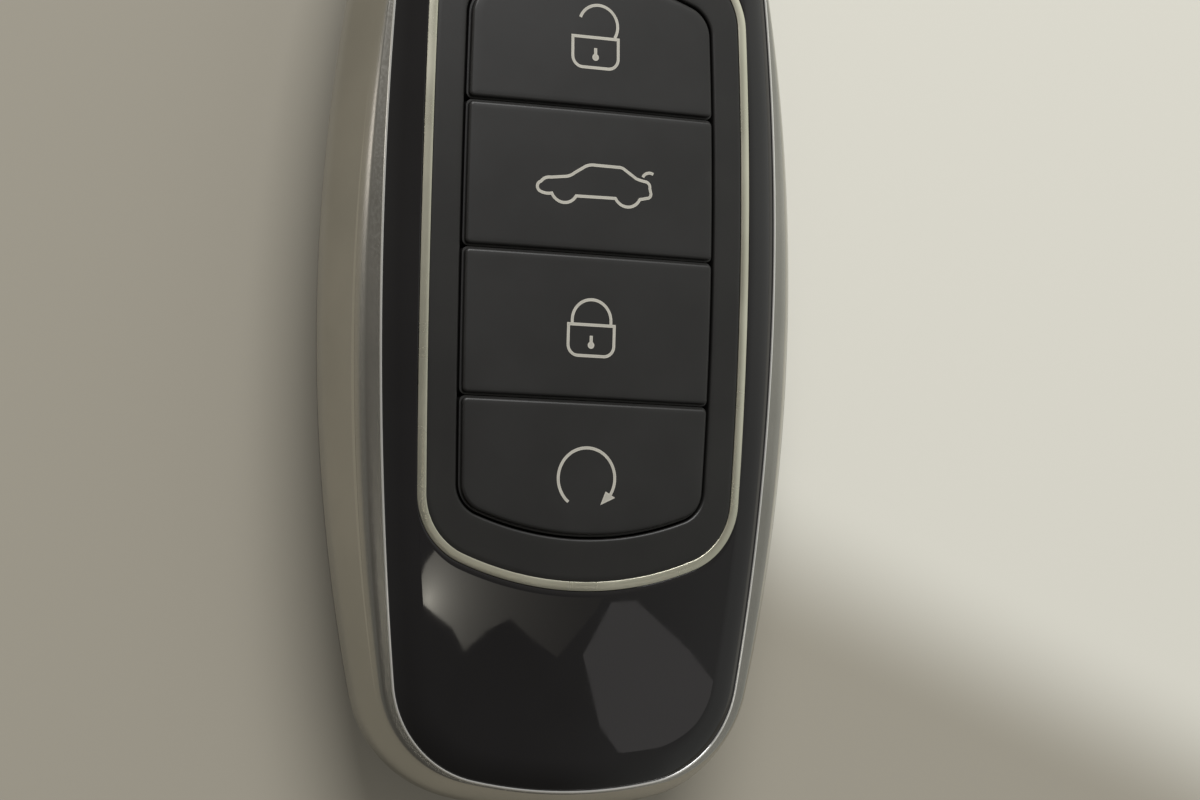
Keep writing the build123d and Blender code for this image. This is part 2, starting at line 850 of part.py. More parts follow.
def cell_door():
    """Round door over the cell, stepped to sit in the rear cover, with a coin slot."""
    body = post(0, cell_place, door_recess, door_recess + door_step, door_radius - slide_gap)
    body += post(0, cell_place, door_recess, rear_floor, door_plug_radius - slide_gap)
    body += post(0, cell_place, door_recess, cell_base - press_gap, cell_radius - door_pad_inset)
    slot = Box(coin_slot_length, coin_slot_width, coin_slot_depth * 2)
    return body - Pos(0, cell_place, door_recess) * slot


# Emergency key


def key_head():
    """Head of the emergency key, rounded at its outer end, with the key ring hole."""
    round_middle = head_end - head_end_radius
    rounded = post(0, round_middle, head_base, head_top, head_end_radius)
    side = head_half_width
    body = rounded & box_between((-side, head_inner_end, head_base), (side, head_end, head_top))
    straight_end = round_middle + math.sqrt(head_end_radius**2 - side**2)
    body += box_between((-side, head_inner_end, head_base), (side, straight_end, head_top))
    ends = body.faces().sort_by(Axis.Z)
    body = fillet(ends[0].edges() + ends[-1].edges(), head_edge_radius)
    body -= post(0, ring_hole_place, 0, crown_height, ring_hole_radius)
    slot_side = blade_half_width + press_gap
    body -= box_between(
        (-slot_side, head_inner_end - overrun, blade_base - press_gap),
        (slot_side, blade_root + press_gap, blade_top + press_gap),
    )
    return body - post(0, pin_place, 0, crown_height, pin_radius + press_gap)


def key_blade():
    """Flat steel blade with a milled groove on both faces and a bevelled tip."""
    side = blade_half_width
    plan = make_face(Polyline(
        (-side, blade_root),
        (-side, blade_tip + blade_point),
        (blade_point - side, blade_tip),
        (side - blade_point, blade_tip),
        (side, blade_tip + blade_point),
        (side, blade_root),
        close=True,
    ))
    body = Pos(0, 0, blade_base) * extrude(plan, blade_thickness)
    groove = Box(blade_groove_width, head_inner_end - blade_tip, 2 * blade_groove_depth)
    for height in (blade_base, blade_top):
        body -= Pos(0, (head_inner_end + blade_tip) / 2 - overrun, height) * groove
    return body - post(0, pin_place, 0, crown_height, pin_radius + press_gap)


def blade_pin():
    """Pin that holds the blade in the key's head."""
    inset = head_edge_radius / 2
    return post(0, pin_place, head_base + inset, head_top - inset, pin_radius)


# Key release


def release_blank(grow=0.0):
    """Plan of the release button about its own middle."""
    return RectangleRounded(release_width + 2 * grow, release_length + 2 * grow, release_corner + grow)


def release_pocket():
    """Room in the carrier for the release button, its spring and its catch."""
    x, y = release_side, release_middle
    low, flange_top = carrier_base - overrun, release_top + release_travel + slide_gap
    flange = extrude(release_blank(release_flange + slide_gap), flange_top - low)
    bore = post(x, y, low, spring_seat, spring_radius + slide_gap)
    half = release_catch_width / 2 + slide_gap
    catch = box_between(
        (x, y - half, low),
        (-blade_half_width, y + half, blade_top + release_travel + slide_gap),
    )
    return Pos(x, y, low) * flange + bore + catch


def key_release():
    """Press button in the rear face, with a flange and a catch beside the blade."""
    x, y = release_side, release_middle
    body = Pos(x, y, release_recess) * extrude(release_blank(), release_top - release_recess)
    body += Pos(x, y, release_base) * extrude(release_blank(release_flange), release_flange_thickness)
    body += post(x, y, release_base, release_top + release_stem_height, release_stem_radius)
    half = release_catch_width / 2
    tip = -blade_half_width - slide_gap
    body += box_between((x + spring_radius, y - half, carrier_base), (tip, y + half, release_top))
    catch = box_between((tip - release_catch_thickness, y - half, carrier_base), (tip, y + half, blade_top))
    return body + catch


def release_spring():
    """Coil spring that pushes the release button back out."""
    clear = spring_wire / 2 + press_gap
    height = spring_seat - release_top - 2 * clear
    helix = Helix(pitch=height / spring_turns, height=height, radius=spring_radius - spring_wire / 2)
    section = Plane(origin=helix @ 0, z_dir=helix % 0) * Circle(spring_wire / 2)
    spring = sweep(section, helix, is_frenet=True)
    return Pos(release_side, release_middle, release_top + clear) * spring


def build():
    """Every sub-part by its node name."""
    parts = {
        "front_cover": front_cover(),
        "side_frame": side_frame(),
        "rear_cover": rear_cover(),
        "case_seal": case_seal(),
        "inlay_ring": inlay_ring(),
        "button_bezel": button_bezel(),
        "keypad_membrane": keypad_membrane(),
        "inner_carrier": inner_carrier(),
        "circuit_board": circuit_board(),
        "tact_switches": tact_switches(),
        "controller_chip": chip(controller_size, controller_side),
        "radio_chip": chip(radio_size, radio_side),
        "clock_crystal": chip(crystal_size, crystal_side),
        "chip_capacitors": chip_capacitors(),
        "aerial_core": aerial_core(),
        "aerial_winding": aerial_winding(),
        "case_screws": case_screws(),
        "coin_cell": coin_cell(),
        "cell_contact_negative": cell_contact_negative(),
        "cell_contact_positive": cell_contact_positive(),
        "cell_door": cell_door(),
        "key_head": key_head(),
        "key_blade": key_blade(),
        "blade_pin": blade_pin(),
        "key_release": key_release(),
        "release_spring": release_spring(),
    }
    for name in button_middles:
        parts[f"{name}_button"] = button_cap(name)
        parts[f"{name}_legend"] = button_legend(name)
        parts[f"{name}_dome"] = button_dome(name)
    return parts


os.makedirs("parts", exist_ok=True)
for node, shape in build().items():
    export_step(shape, f"parts/{node}.step")
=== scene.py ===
import json
import math
from dataclasses import dataclass

import bmesh
import bpy
from mathutils import Matrix, Vector


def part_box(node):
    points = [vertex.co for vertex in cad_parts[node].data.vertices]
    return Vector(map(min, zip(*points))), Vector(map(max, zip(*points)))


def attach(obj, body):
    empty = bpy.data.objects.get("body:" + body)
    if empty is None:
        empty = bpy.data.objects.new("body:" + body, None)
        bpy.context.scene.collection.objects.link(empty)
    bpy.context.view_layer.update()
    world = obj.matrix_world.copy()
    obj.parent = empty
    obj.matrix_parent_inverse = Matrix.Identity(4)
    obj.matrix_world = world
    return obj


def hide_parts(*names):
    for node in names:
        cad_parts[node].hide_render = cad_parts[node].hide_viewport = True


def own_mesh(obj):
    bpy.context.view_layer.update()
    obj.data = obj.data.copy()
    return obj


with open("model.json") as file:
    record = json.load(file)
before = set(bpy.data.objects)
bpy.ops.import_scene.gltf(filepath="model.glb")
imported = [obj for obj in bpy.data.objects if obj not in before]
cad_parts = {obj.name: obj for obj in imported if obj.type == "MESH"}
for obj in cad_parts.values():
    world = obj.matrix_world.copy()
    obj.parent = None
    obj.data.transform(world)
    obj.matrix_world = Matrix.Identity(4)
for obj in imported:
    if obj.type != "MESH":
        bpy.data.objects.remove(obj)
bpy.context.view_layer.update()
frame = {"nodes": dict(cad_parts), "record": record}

# The looks of a car key fob. Sizes are in millimetres in the CAD frame and are written to
# the meshes in metres.

MM = 0.001

# Sizes shared with the CAD model
seam_height = 6.0
waist_height = 8.2
crown_height = 14.3
cap_rise = 0.3
arch_radius = 377.0
crown_radius = 200.0
shoulder_radius = 3.85
shoulder_width = 2.4
crescent_width = 1.45
crease_wall_share = 0.9
crease_strip_share = 0.3
end_land = 0.3
lip_width = 0.2
lip_rise = 0.1
wall_straightness = 0.67
rear_inset = 6.0
rear_roundness = 2.4
rear_floor = 1.5
rear_wall = 2.4
press_gap = 0.03
inlay_width = 0.72
inlay_rise = 0.04
plate_thickness = 1.4
guide_wall = 0.8
guide_height = 10.6
cover_wall = 1.3
frame_wall = 1.4
bezel_flange = 0.8
bezel_flange_thickness = 1.0
button_pitch = 11.62
cap_gap = 0.32
cap_spacing = 0.36
cap_base = 9.95
cell_place = -18.5
door_radius = 11.4
door_plug_radius = 10.6
door_recess = 0.15
door_step = 0.75
slide_gap = 0.15
door_pad_radius = 8.5
door_pad_top = 1.97
door_circle_steps = 128
coin_slot_length = 13.0
coin_slot_width = 1.8
coin_slot_depth = 0.5
dome_base = 9.2
dome_height = 1.8
dome_radius = 2.4
dome_top_radius = 1.8
dome_skirt = 0.3
spring_radius = 1.5
spring_wire = 0.3
spring_turns = 4
head_half_width = 8.0
head_base = 2.6
head_top = 8.6
head_inner_end = 34.4
head_end = 44.0
head_end_radius = 9.5
head_edge_radius = 1.1
head_corner = 1.2
head_edge_length = 0.6
ring_hole_place = 41.2
ring_hole_radius = 1.7
pin_place = 36.6
pin_radius = 0.9
blade_half_width = 3.5
blade_base = 3.0
blade_top = 5.0
blade_root = 38.6
release_side = -9.6
release_middle = 19.5
release_length = 7.0
release_width = 4.2
release_corner = 1.0
port_low, port_high = 2.45, 8.75
port_side = 8.15
port_inner = 34.1

# Sizes of the rounded edges and fine gaps that only the visual meshes have
edge_round = 0.25
edge_round_steps = 6
fine_round = 0.08
inlay_round = 0.035
seam_groove = 0.04
rear_step = 0.16  # the rear cover stands back under the frame
cap_step = 0.15  # half closes the gap round a cap
cap_step_depth = 0.45
skirt_low = 9.0  # hidden edge of the front cover, above the key's port
bevel_share = 0.3  # how far in and down the middle of a fine bevel lies
overrun = 1.0  # how far a cutter reaches past what it cuts
weld_distance = 0.0005
plan_least_lean = 0.4  # limits the mitres of a plan's corners
legend_least_lean = 0.5

# Least angles in degrees at which edges stay sharp
plain_angle = 32.0
frame_angle = 18.0
pan_angle = 28.0
ring_angle = 60.0
cap_angle = 50.0
legend_angle = 40.0


@dataclass
class Outline:
    """Closed plan outline of eight tangent arcs, alike on both sides of X = 0."""

    half_width: float
    bottom: float
    top: float
    side_radius: float
    side_centre: float
    end_radius: float
    corner_radius: float

    end_steps = 14
    corner_steps = 22
    side_steps = 54

    def inset(self, distance):
        """The same outline moved inwards everywhere by one distance."""
        return Outline(
            self.half_width - distance, self.bottom - distance, self.top - distance,
            self.side_radius - distance, self.side_centre,
            self.end_radius - distance, self.corner_radius - distance,
        )

    def corner(self, sign, reach):
        """Centre of a right-hand corner arc and the directions where it meets side and end."""
        side = Vector((self.half_width - self.side_radius, self.side_centre))
        end = Vector((0.0, sign * (reach - self.end_radius)))
        from_side = self.side_radius - self.corner_radius
        from_end = self.end_radius - self.corner_radius
        apart = end - side
        along = (from_side**2 - from_end**2 + apart.length_squared) / (2 * apart.length)
        across = math.sqrt(from_side**2 - along**2)
        forward = apart.normalized()
        outward = Vector((-forward.y, forward.x)) * sign
        centre = side + forward * along + outward * across
        to_side = (centre - side).normalized()
        to_end = (centre - end).normalized()
        return centre, math.atan2(to_side.y, to_side.x), math.atan2(to_end.y, to_end.x)

    def half(self):
        """Points of the right-hand half, from the bottom's middle to the top's middle."""
        low, low_side, low_end = self.corner(-1, self.bottom)
        top, top_side, top_end = self.corner(1, self.top)
        side = Vector((self.half_width - self.side_radius, self.side_centre))
        low_middle = Vector((0.0, self.end_radius - self.bottom))
        top_middle = Vector((0.0, self.top - self.end_radius))
        arcs = [
            (low_middle, self.end_radius, -math.pi / 2, low_end, self.end_steps),
            (low, self.corner_radius, low_end, low_side, self.corner_steps),
            (side, self.side_radius, low_side, top_side, self.side_steps),
            (top, self.corner_radius, top_side, top_end, self.corner_steps),
            (top_middle, self.end_radius, top_end, math.pi / 2, self.end_steps),
        ]
        points = []
        for centre, radius, start, end, steps in arcs:
            for step in range(steps):
                angle = start + (end - start) * step / steps
                points.append(centre + Vector((math.cos(angle), math.sin(angle))) * radius)
        points.append(Vector((0.0, self.top)))
        return points

    def ring(self):
        """Points all round, anticlockwise from the bottom's middle."""
        right = self.half()
        left = [Vector((-p.x, p.y)) for p in reversed(right[1:-1])]
        return right + left


waist = Outline(19.997, 43.99, 38.89, 150.0, -3.0, 38.0, 10.5)
face_edge = Outline(16.69, 42.3, 37.2, 266.0, 0.2, 37.2, 8.6)
inlay_edge = Outline(14.0, 26.6, 26.6, 529.0, 0.0, 26.3, 5.9)
well_edge = Outline(10.81, 22.5, 22.5, 577.0, 0.0, 24.6, 2.6)


def arc_drop(radius, reach):
    """How far an arc has fallen away from its tangent at this distance along it."""
    return radius - math.sqrt(radius**2 - reach**2)


def crown(point, height):
    """Height of the crowned and arched surface whose top is at this height."""
    x, y = point[0], point[1]
    section = height - arc_drop(crown_radius + height - crown_height, x)
    axis = crown_height - arch_radius
    return axis + math.sqrt((section - axis) ** 2 - y**2)


frame_crown = crown_height - arc_drop(shoulder_radius, shoulder_width)
crease_half_width = face_edge.half_width + crescent_width
crease_height = frame_crown - crease_half_width**2 / (2 * crown_radius)


def flare_share(height):
    """Share of the side wall's flare that is left above the waist at one height."""
    share = (height - waist_height) / (crease_height - waist_height)
    return share * (wall_straightness + (1 - wall_straightness) * share)


def end_flare(waist_reach, face_reach):
    """Flare at an end that leaves the end land outside the cover."""
    edge_height = frame_crown - face_reach**2 / (2 * arch_radius)
    return (waist_reach - face_reach - end_land) / flare_share(edge_height)


def skin(height):
    """Outline of the fob's outer skin at one height."""
    if height >= waist_height:
        share = flare_share(height)
        side = (waist.half_width - crease_half_width) * share
        return Outline(
            waist.half_width - side,
            waist.bottom - end_flare(waist.bottom, face_edge.bottom) * share,
            waist.top - end_flare(waist.top, face_edge.top) * share,
            waist.side_radius, waist.side_centre, waist.end_radius,
            waist.corner_radius - side,
        )
    drop = 1 - max(height, 0.0) / waist_height
    round_share = (1 - drop**rear_roundness) ** (1 / rear_roundness)
    return waist.inset(rear_inset * (1 - round_share))


# Mesh building


def raised(plan, height):
    """Plan points at one height."""
    return [(x, y, height) for x, y in plan]


def laid(plan, height, drop=0.0):
    """Plan points on the crowned surface whose top is at this height, lowered by a drop."""
    return [(x, y, crown((x, y), height) - drop) for x, y in plan]


def flat_ring(outline, height):
    """An outline's points at one height."""
    return raised(outline.ring(), height)


def crowned_ring(outline, height, drop=0.0):
    """An outline's points on the crowned surface."""
    return laid(outline.ring(), height, drop)


def between_rings(first, last, count, height):
    """Rings that blend one plan ring into another on the crowned surface, ends left out."""
    rings = []
    for share in (step / count for step in range(1, count)):
        plan = [(a[0] + (b[0] - a[0]) * share, a[1] + (b[1] - a[1]) * share) for a, b in zip(first, last)]
        rings.append(laid(plan, height))
    return rings


def bevel_rings(outline, height, radius, side=1):
    """Rings up a fine bevel to a face that lies inside the outline, or outside it for side -1."""
    return [
        crowned_ring(outline.inset(side * radius * inset), height, radius * drop)
        for inset, drop in ((0, 1), (bevel_share, bevel_share), (1, 0))
    ]


def rounding(radius, steps):
    """Insets and drops round an edge, from its wall (0, radius) to its face (radius, 0)."""
    angles = [math.pi / 2 * step / steps for step in range(steps + 1)]
    return [(radius * (1 - math.cos(angle)), radius * (1 - math.sin(angle))) for angle in angles]


def tube_faces(ring_count, ring_size, closed):
    """Quads between successive rings, back to the first ring when closed."""
    faces = []
    for row in range(ring_count if closed else ring_count - 1):
        after = (row + 1) % ring_count
        for step in range(ring_size):
            turn = (step + 1) % ring_size
            faces.append((
                row * ring_size + step, row * ring_size + turn,
                after * ring_size + turn, after * ring_size + step,
            ))
    return faces


def new_object(name, data):
    """An object that is linked to the scene."""
    made = bpy.data.objects.new(name, data)
    bpy.context.scene.collection.objects.link(made)
    return made


def new_piece(name, points, faces, angle=plain_angle):
    """A smooth-shaded object from points in millimetres, its normals turned outwards."""
    mesh = bpy.data.meshes.new(name)
    mesh.from_pydata([Vector(p) * MM for p in points], [], faces)
    welded = bmesh.new()
    welded.from_mesh(mesh)
    bmesh.ops.remove_doubles(welded, verts=welded.verts, dist=MM * weld_distance)
    bmesh.ops.recalc_face_normals(welded, faces=welded.faces)
    welded.to_mesh(mesh)
    welded.free()
    piece = new_object(name, mesh)
    shade(piece, angle)
    return piece


def shade(piece, angle):
    """Smooth shading that keeps edges sharper than an angle in degrees."""
    piece.data.shade_smooth()
    piece.data.set_sharp_from_angle(angle=math.radians(angle))


def ring_piece(name, rings, angle=plain_angle):
    """A piece skinned over rings of equal size, the last one joined to the first."""
    points = [p for ring in rings for p in ring]
    return new_piece(name, points, tube_faces(len(rings), len(rings[0]), closed=True), angle)


def solid_piece(name, rings, angle=plain_angle):
    """A piece skinned over rings of equal size, with flat faces on the first and the last."""
    points = [p for ring in rings for p in ring]
    size = len(rings[0])
    faces = tube_faces(len(rings), size, closed=False)
    faces += [tuple(range(size)), tuple(range(len(points) - size, len(points)))]
    return new_piece(name, points, faces, angle)


def cut(piece, cutters, angle=plain_angle):
    """Cuts meshes out of a piece, one by one, and removes them."""
    for cutter in cutters:
        modifier = piece.modifiers.new("cut", "BOOLEAN")
        modifier.operation = "DIFFERENCE"
        modifier.solver = "EXACT"
        modifier.object = cutter
        graph = bpy.context.evaluated_depsgraph_get()
        mesh = bpy.data.meshes.new_from_object(piece.evaluated_get(graph))
        piece.modifiers.clear()
        piece.data = mesh
        bpy.data.objects.remove(cutter)
        shade(piece, angle)


def prism(name, plan, low, high):
    """An upright closed prism over a plan polygon."""
    return solid_piece(name, [raised(plan, low), raised(plan, high)])


def rectangle(left, low, right, high):
    """Corners of a rectangle, anticlockwise."""
    return [(left, low), (right, low), (right, high), (left, high)]


def arc_points(centre, radius, start, end, steps):
    """Points of an arc between two angles in degrees, both ends kept."""
    angles = [math.radians(start + (end - start) * step / steps) for step in range(steps + 1)]
    return [(centre[0] + radius * math.cos(a), centre[1] + radius * math.sin(a)) for a in angles]


def circle_plan(y, radius, steps):
    """Points of a circle with its centre on X = 0."""
    return arc_points((0.0, y), radius, 0.0, 360.0, steps)[:-1]


def rounded_plan(points, radius, steps=6, least_turn=20.0):
    """A polygon with its sharp corners rounded to a radius."""
    result = []
    count = len(points)
    for index in range(count):
        here = Vector(points[index])
        back = (Vector(points[index - 1]) - here).normalized()
        ahead = (Vector(points[(index + 1) % count]) - here).normalized()
        inner = back.angle(ahead)
        if math.degrees(math.pi - inner) < least_turn:
            result.append(tuple(here))
            continue
        reach = radius / math.tan(inner / 2)
        centre = here + (back + ahead).normalized() * (radius / math.sin(inner / 2))
        start = here + back * reach - centre
        end = here + ahead * reach - centre
        sweep = start.angle_signed(end)
        for step in range(steps + 1):
            arm = start.copy()
            arm.rotate(Matrix.Rotation(-sweep * step / steps, 2))
            result.append(tuple(centre + arm))
    return result


def dense_plan(points, longest):
    """A polygon with its long edges divided."""
    result = []
    for here, ahead in zip(points, points[1:] + points[:1]):
        steps = max(1, math.ceil((Vector(ahead) - Vector(here)).length / longest))
        for share in (step / steps for step in range(steps)):
            result.append(tuple(a + (b - a) * share for a, b in zip(here, ahead)))
    return result


def mitres(path, least_lean, closed=True):
    """Arms at a path's points that move its edges to the left by one unit."""
    path = [Vector(p) for p in path]
    ways = [(after - here).normalized() for here, after in zip(path, path[1:] + path[:1])]
    if not closed:
        ways[-1] = ways[-2]
    arms = []
    for index, second in enumerate(ways):
        first = ways[index - 1] if closed or index else second
        normal = Vector((-first.y - second.y, first.x + second.x)).normalized()
        arms.append(normal / max(least_lean, normal.dot(Vector((-first.y, first.x)))))
    return arms


def shrunk_plan(points, distance):
    """An anticlockwise polygon moved inwards by a distance."""
    arms = mitres(points, plan_least_lean)
    return [tuple(Vector(p) + arm * distance) for p, arm in zip(points, arms)]


# Materials

materials = {}
vector_sums = ("DOT_PRODUCT", "DISTANCE")
tone_detail = 3.0
tone_span = (0.35, 0.65)
grain_detail = 2.0
grain_span = (0.3, 0.7)
worn_width = 0.2
worn_samples = 4
worn_match_span = (0.995, 0.90)  # how well the rounded normal matches the true one


def fill(tree, node, inputs):
    """Sets a node's inputs to values, or links them where the value is an output."""
    for name, value in inputs.items():
        if isinstance(value, bpy.types.NodeSocket):
            tree.links.new(value, node.inputs[name])
        else:
            node.inputs[name].default_value = value


def add_node(tree, kind, inputs=None, **properties):
    """A shader node with its properties set and its inputs set or linked."""
    node = tree.nodes.new(kind)
    for name, value in properties.items():
        setattr(node, name, value)
    fill(tree, node, inputs or {})
    return node


def place_output(tree, kind="Object"):
    """The place of each point, on the piece or in the room."""
    return add_node(tree, "ShaderNodeTexCoord").outputs[kind]


def worked_out(tree, operation, *values):
    """The number that a sum of numbers or of vectors gives."""
    kind = "ShaderNodeVectorMath" if operation in vector_sums else "ShaderNodeMath"
    return add_node(tree, kind, dict(enumerate(values)), operation=operation).outputs["Value"]


def noise(tree, scale, detail, stretch):
    """Noise over the piece's own place, in cycles per metre."""
    mapping = add_node(tree, "ShaderNodeMapping", {"Vector": place_output(tree), "Scale": stretch})
    inputs = {"Vector": mapping.outputs["Vector"], "Scale": scale, "Detail": detail}
    return add_node(tree, "ShaderNodeTexNoise", inputs).outputs["Fac"]


def ramp(tree, source, span, low=0.0, high=1.0, kind="LINEAR"):
    """A number that runs from low to high as the source runs over its span."""
    inputs = {"Value": source, "From Min": span[0], "From Max": span[1], "To Min": low, "To Max": high}
    return add_node(tree, "ShaderNodeMapRange", inputs, interpolation_type=kind).outputs["Result"]


def mix(tree, share, first, second):
    """A colour that lies a share of the way from the first to the second."""
    inputs = {"Factor": share, "A": first, "B": second}
    return add_node(tree, "ShaderNodeMix", inputs, data_type="RGBA").outputs["Result"]


def edge_share(tree):
    """Nought on open surfaces and one on edges, found by rounding the normals over a width."""
    rounded = add_node(tree, "ShaderNodeBevel", {"Radius": worn_width * MM}, samples=worn_samples)
    surface = add_node(tree, "ShaderNodeNewGeometry")
    normals = rounded.outputs["Normal"], surface.outputs["Normal"]
    match = worked_out(tree, "DOT_PRODUCT", *normals)
    return ramp(tree, match, worn_match_span)


def finish(name, dark, light, rough, metallic=0.0, tone_scale=180.0, grain_scale=4000.0,
           bump=0.05, bump_depth=0.02, stretch=(1.0, 1.0, 1.0), specular=0.5, wear=0.3):
    """A material whose tone, roughness and fine relief vary over the piece, with paler worn edges."""
    made = bpy.data.materials.new(name)
    materials[name] = made
    made.use_nodes = True
    tree = made.node_tree
    colours = add_node(tree, "ShaderNodeValToRGB", {"Fac": noise(tree, tone_scale, tone_detail, stretch)})
    for element, position, tone in zip(colours.color_ramp.elements, tone_span, (dark, light)):
        element.position = position
        element.color = (*tone, 1.0)
    colour = colours.outputs["Color"]
    if wear:
        worn = [min(part * (1.0 + wear), 1.0) for part in light]
        colour = mix(tree, edge_share(tree), colour, (*worn, 1.0))
    grain = noise(tree, grain_scale, grain_detail, stretch)
    inputs = {"Strength": bump, "Distance": bump_depth * MM, "Height": grain}
    fill(tree, tree.nodes["Principled BSDF"], {
        "Base Color": colour,
        "Metallic": metallic,
        "Roughness": ramp(tree, grain, grain_span, *rough),
        "Specular IOR Level": specular,
        "Normal": add_node(tree, "ShaderNodeBump", inputs).outputs["Normal"],
    })
    return made


finish("gloss_black", (0.0115, 0.0108, 0.0112), (0.0145, 0.0137, 0.0142), (0.015, 0.035),
       tone_scale=60.0, grain_scale=700.0, bump=0.01, bump_depth=0.01)
finish("satin_black", (0.0125, 0.0120, 0.0115), (0.0160, 0.0155, 0.0145), (0.36, 0.42),
       grain_scale=9000.0, bump=0.10, bump_depth=0.01)
finish("cap_black", (0.0135, 0.0130, 0.0125), (0.0175, 0.0170, 0.0165), (0.40, 0.46),
       grain_scale=9000.0, bump=0.12, bump_depth=0.01)
finish("legend_pale", (0.42, 0.40, 0.35), (0.50, 0.48, 0.42), (0.5, 0.6),
       tone_scale=900.0, grain_scale=6000.0, bump=0.1, bump_depth=0.01)
finish("plated_frame", (0.44, 0.43, 0.395), (0.50, 0.485, 0.445), (0.20, 0.27),
       wear=0.12, metallic=1.0, tone_scale=90.0, grain_scale=5000.0, bump=0.04, bump_depth=0.01)
finish("polished_lip", (0.88, 0.86, 0.80), (0.94, 0.92, 0.86), (0.10, 0.16), metallic=0.7, tone_scale=90.0)
finish("bright_inlay", (0.70, 0.685, 0.56), (0.82, 0.80, 0.66), (0.26, 0.30),
       wear=0.0, metallic=0.97, tone_scale=120.0, grain_scale=250.0, bump=0.02, bump_depth=0.02)
finish("rear_black", (0.020, 0.0195, 0.019), (0.026, 0.0255, 0.025), (0.30, 0.38),
       grain_scale=3500.0, bump=0.45, bump_depth=0.04)
finish("seal_rubber", (0.018, 0.018, 0.018), (0.03, 0.03, 0.03), (0.6, 0.75))
finish("silicone_grey", (0.25, 0.26, 0.27), (0.32, 0.33, 0.34), (0.5, 0.62))
finish("carrier_plastic", (0.07, 0.07, 0.075), (0.10, 0.10, 0.105), (0.45, 0.55),
       bump=0.2, grain_scale=3000.0)
finish("board_green", (0.010, 0.085, 0.035), (0.016, 0.12, 0.05), (0.25, 0.36), tone_scale=900.0)
finish("switch_black", (0.03, 0.03, 0.03), (0.05, 0.05, 0.05), (0.4, 0.5))
finish("chip_black", (0.014, 0.014, 0.015), (0.022, 0.022, 0.023), (0.45, 0.55), bump=0.2)
finish("crystal_can", (0.55, 0.55, 0.53), (0.66, 0.66, 0.64), (0.2, 0.3), metallic=1.0)
finish("capacitor_tan", (0.33, 0.22, 0.12), (0.42, 0.29, 0.16), (0.3, 0.4))
finish("ferrite", (0.05, 0.05, 0.052), (0.08, 0.08, 0.085), (0.5, 0.65), bump=0.3)
finish("copper_wire", (0.52, 0.21, 0.08), (0.64, 0.30, 0.13), (0.25, 0.35),
       metallic=1.0, stretch=(0.05, 0.05, 1.0), grain_scale=9000.0, bump=0.6, bump_depth=0.05)
finish("screw_steel", (0.45, 0.45, 0.46), (0.55, 0.55, 0.56), (0.25, 0.4), metallic=1.0)
finish("cell_steel", (0.62, 0.62, 0.61), (0.70, 0.70, 0.69), (0.2, 0.32), metallic=1.0)
finish("contact_metal", (0.58, 0.54, 0.43), (0.68, 0.64, 0.52), (0.22, 0.34), metallic=1.0)
finish("blade_steel", (0.50, 0.50, 0.49), (0.60, 0.60, 0.59), (0.24, 0.36),
       metallic=1.0, stretch=(1.0, 0.04, 1.0), grain_scale=9000.0, bump=0.25, bump_depth=0.02)
finish("release_plastic", (0.045, 0.045, 0.045), (0.06, 0.06, 0.06), (0.4, 0.5),
       bump=0.3, bump_depth=0.03, grain_scale=3500.0)
finish("spring_steel", (0.40, 0.40, 0.41), (0.50, 0.50, 0.51), (0.2, 0.3), metallic=1.0)

node_slots = {row["node"]: row["material_slot"] for row in frame["record"]["subparts"]}
for node_name, cad_object in frame["nodes"].items():
    cad_object.data.materials.clear()
    cad_object.data.materials.append(materials[node_slots[node_name]])


def dress(piece, slot, body, *nodes, look=None):
    """Gives a piece its material and its body, and hides the CAD nodes that it stands for."""
    piece.data.materials.clear()
    piece.data.materials.append(materials[look or slot])
    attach(piece, body)
    if nodes:
        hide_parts(*nodes)


# Front cover


def front_cover():
    """Gloss cover: rounded shoulder, crowned face, and the edge against the inlay ring."""
    shoulder_steps = 14
    face_steps = 30
    skirt = face_edge.inset(cover_wall)
    inner = inlay_edge.inset(-press_gap)
    rings = [flat_ring(skirt, skirt_low), flat_ring(face_edge, skirt_low)]
    for inset in (shoulder_width * step / shoulder_steps for step in range(shoulder_steps + 1)):
        drop = arc_drop(shoulder_radius, shoulder_width - inset)
        rings.append(crowned_ring(face_edge.inset(inset), crown_height, drop))
    bevel = bevel_rings(inner, crown_height, fine_round, side=-1)[::-1]
    rings += between_rings(rings[-1], bevel[0], face_steps, crown_height)
    rings += bevel
    rings += [crowned_ring(outline, crown_height, plate_thickness) for outline in (inner, skirt)]
    dress(ring_piece("front_cover_shell", rings), "gloss_black", "case", "front_cover")


# Side frame


def frame_wall_ring(share):
    """Ring of the frame's outer wall at a share of the way from the seam to its crease."""
    levels = 60
    rise = (frame_crown - seam_height) / levels
    outlines = [skin(seam_height + rise * level).ring() for level in range(levels + 1)]

    def headroom(level, index):
        """How far one point of the wall lies below the crowned surface."""
        return crown(outlines[level][index], frame_crown) - (seam_height + rise * level)

    ring = []
    for index in range(len(outlines[0])):
        low = next(level for level in range(levels) if headroom(level + 1, index) <= 0)
        under, over = headroom(low, index), headroom(low + 1, index)
        place = (low + under / (under - over)) * share
        step = min(int(place), levels - 1)
        point = outlines[step][index].lerp(outlines[step + 1][index], place - step)
        ring.append((point.x, point.y, seam_height + rise * place))
    return ring


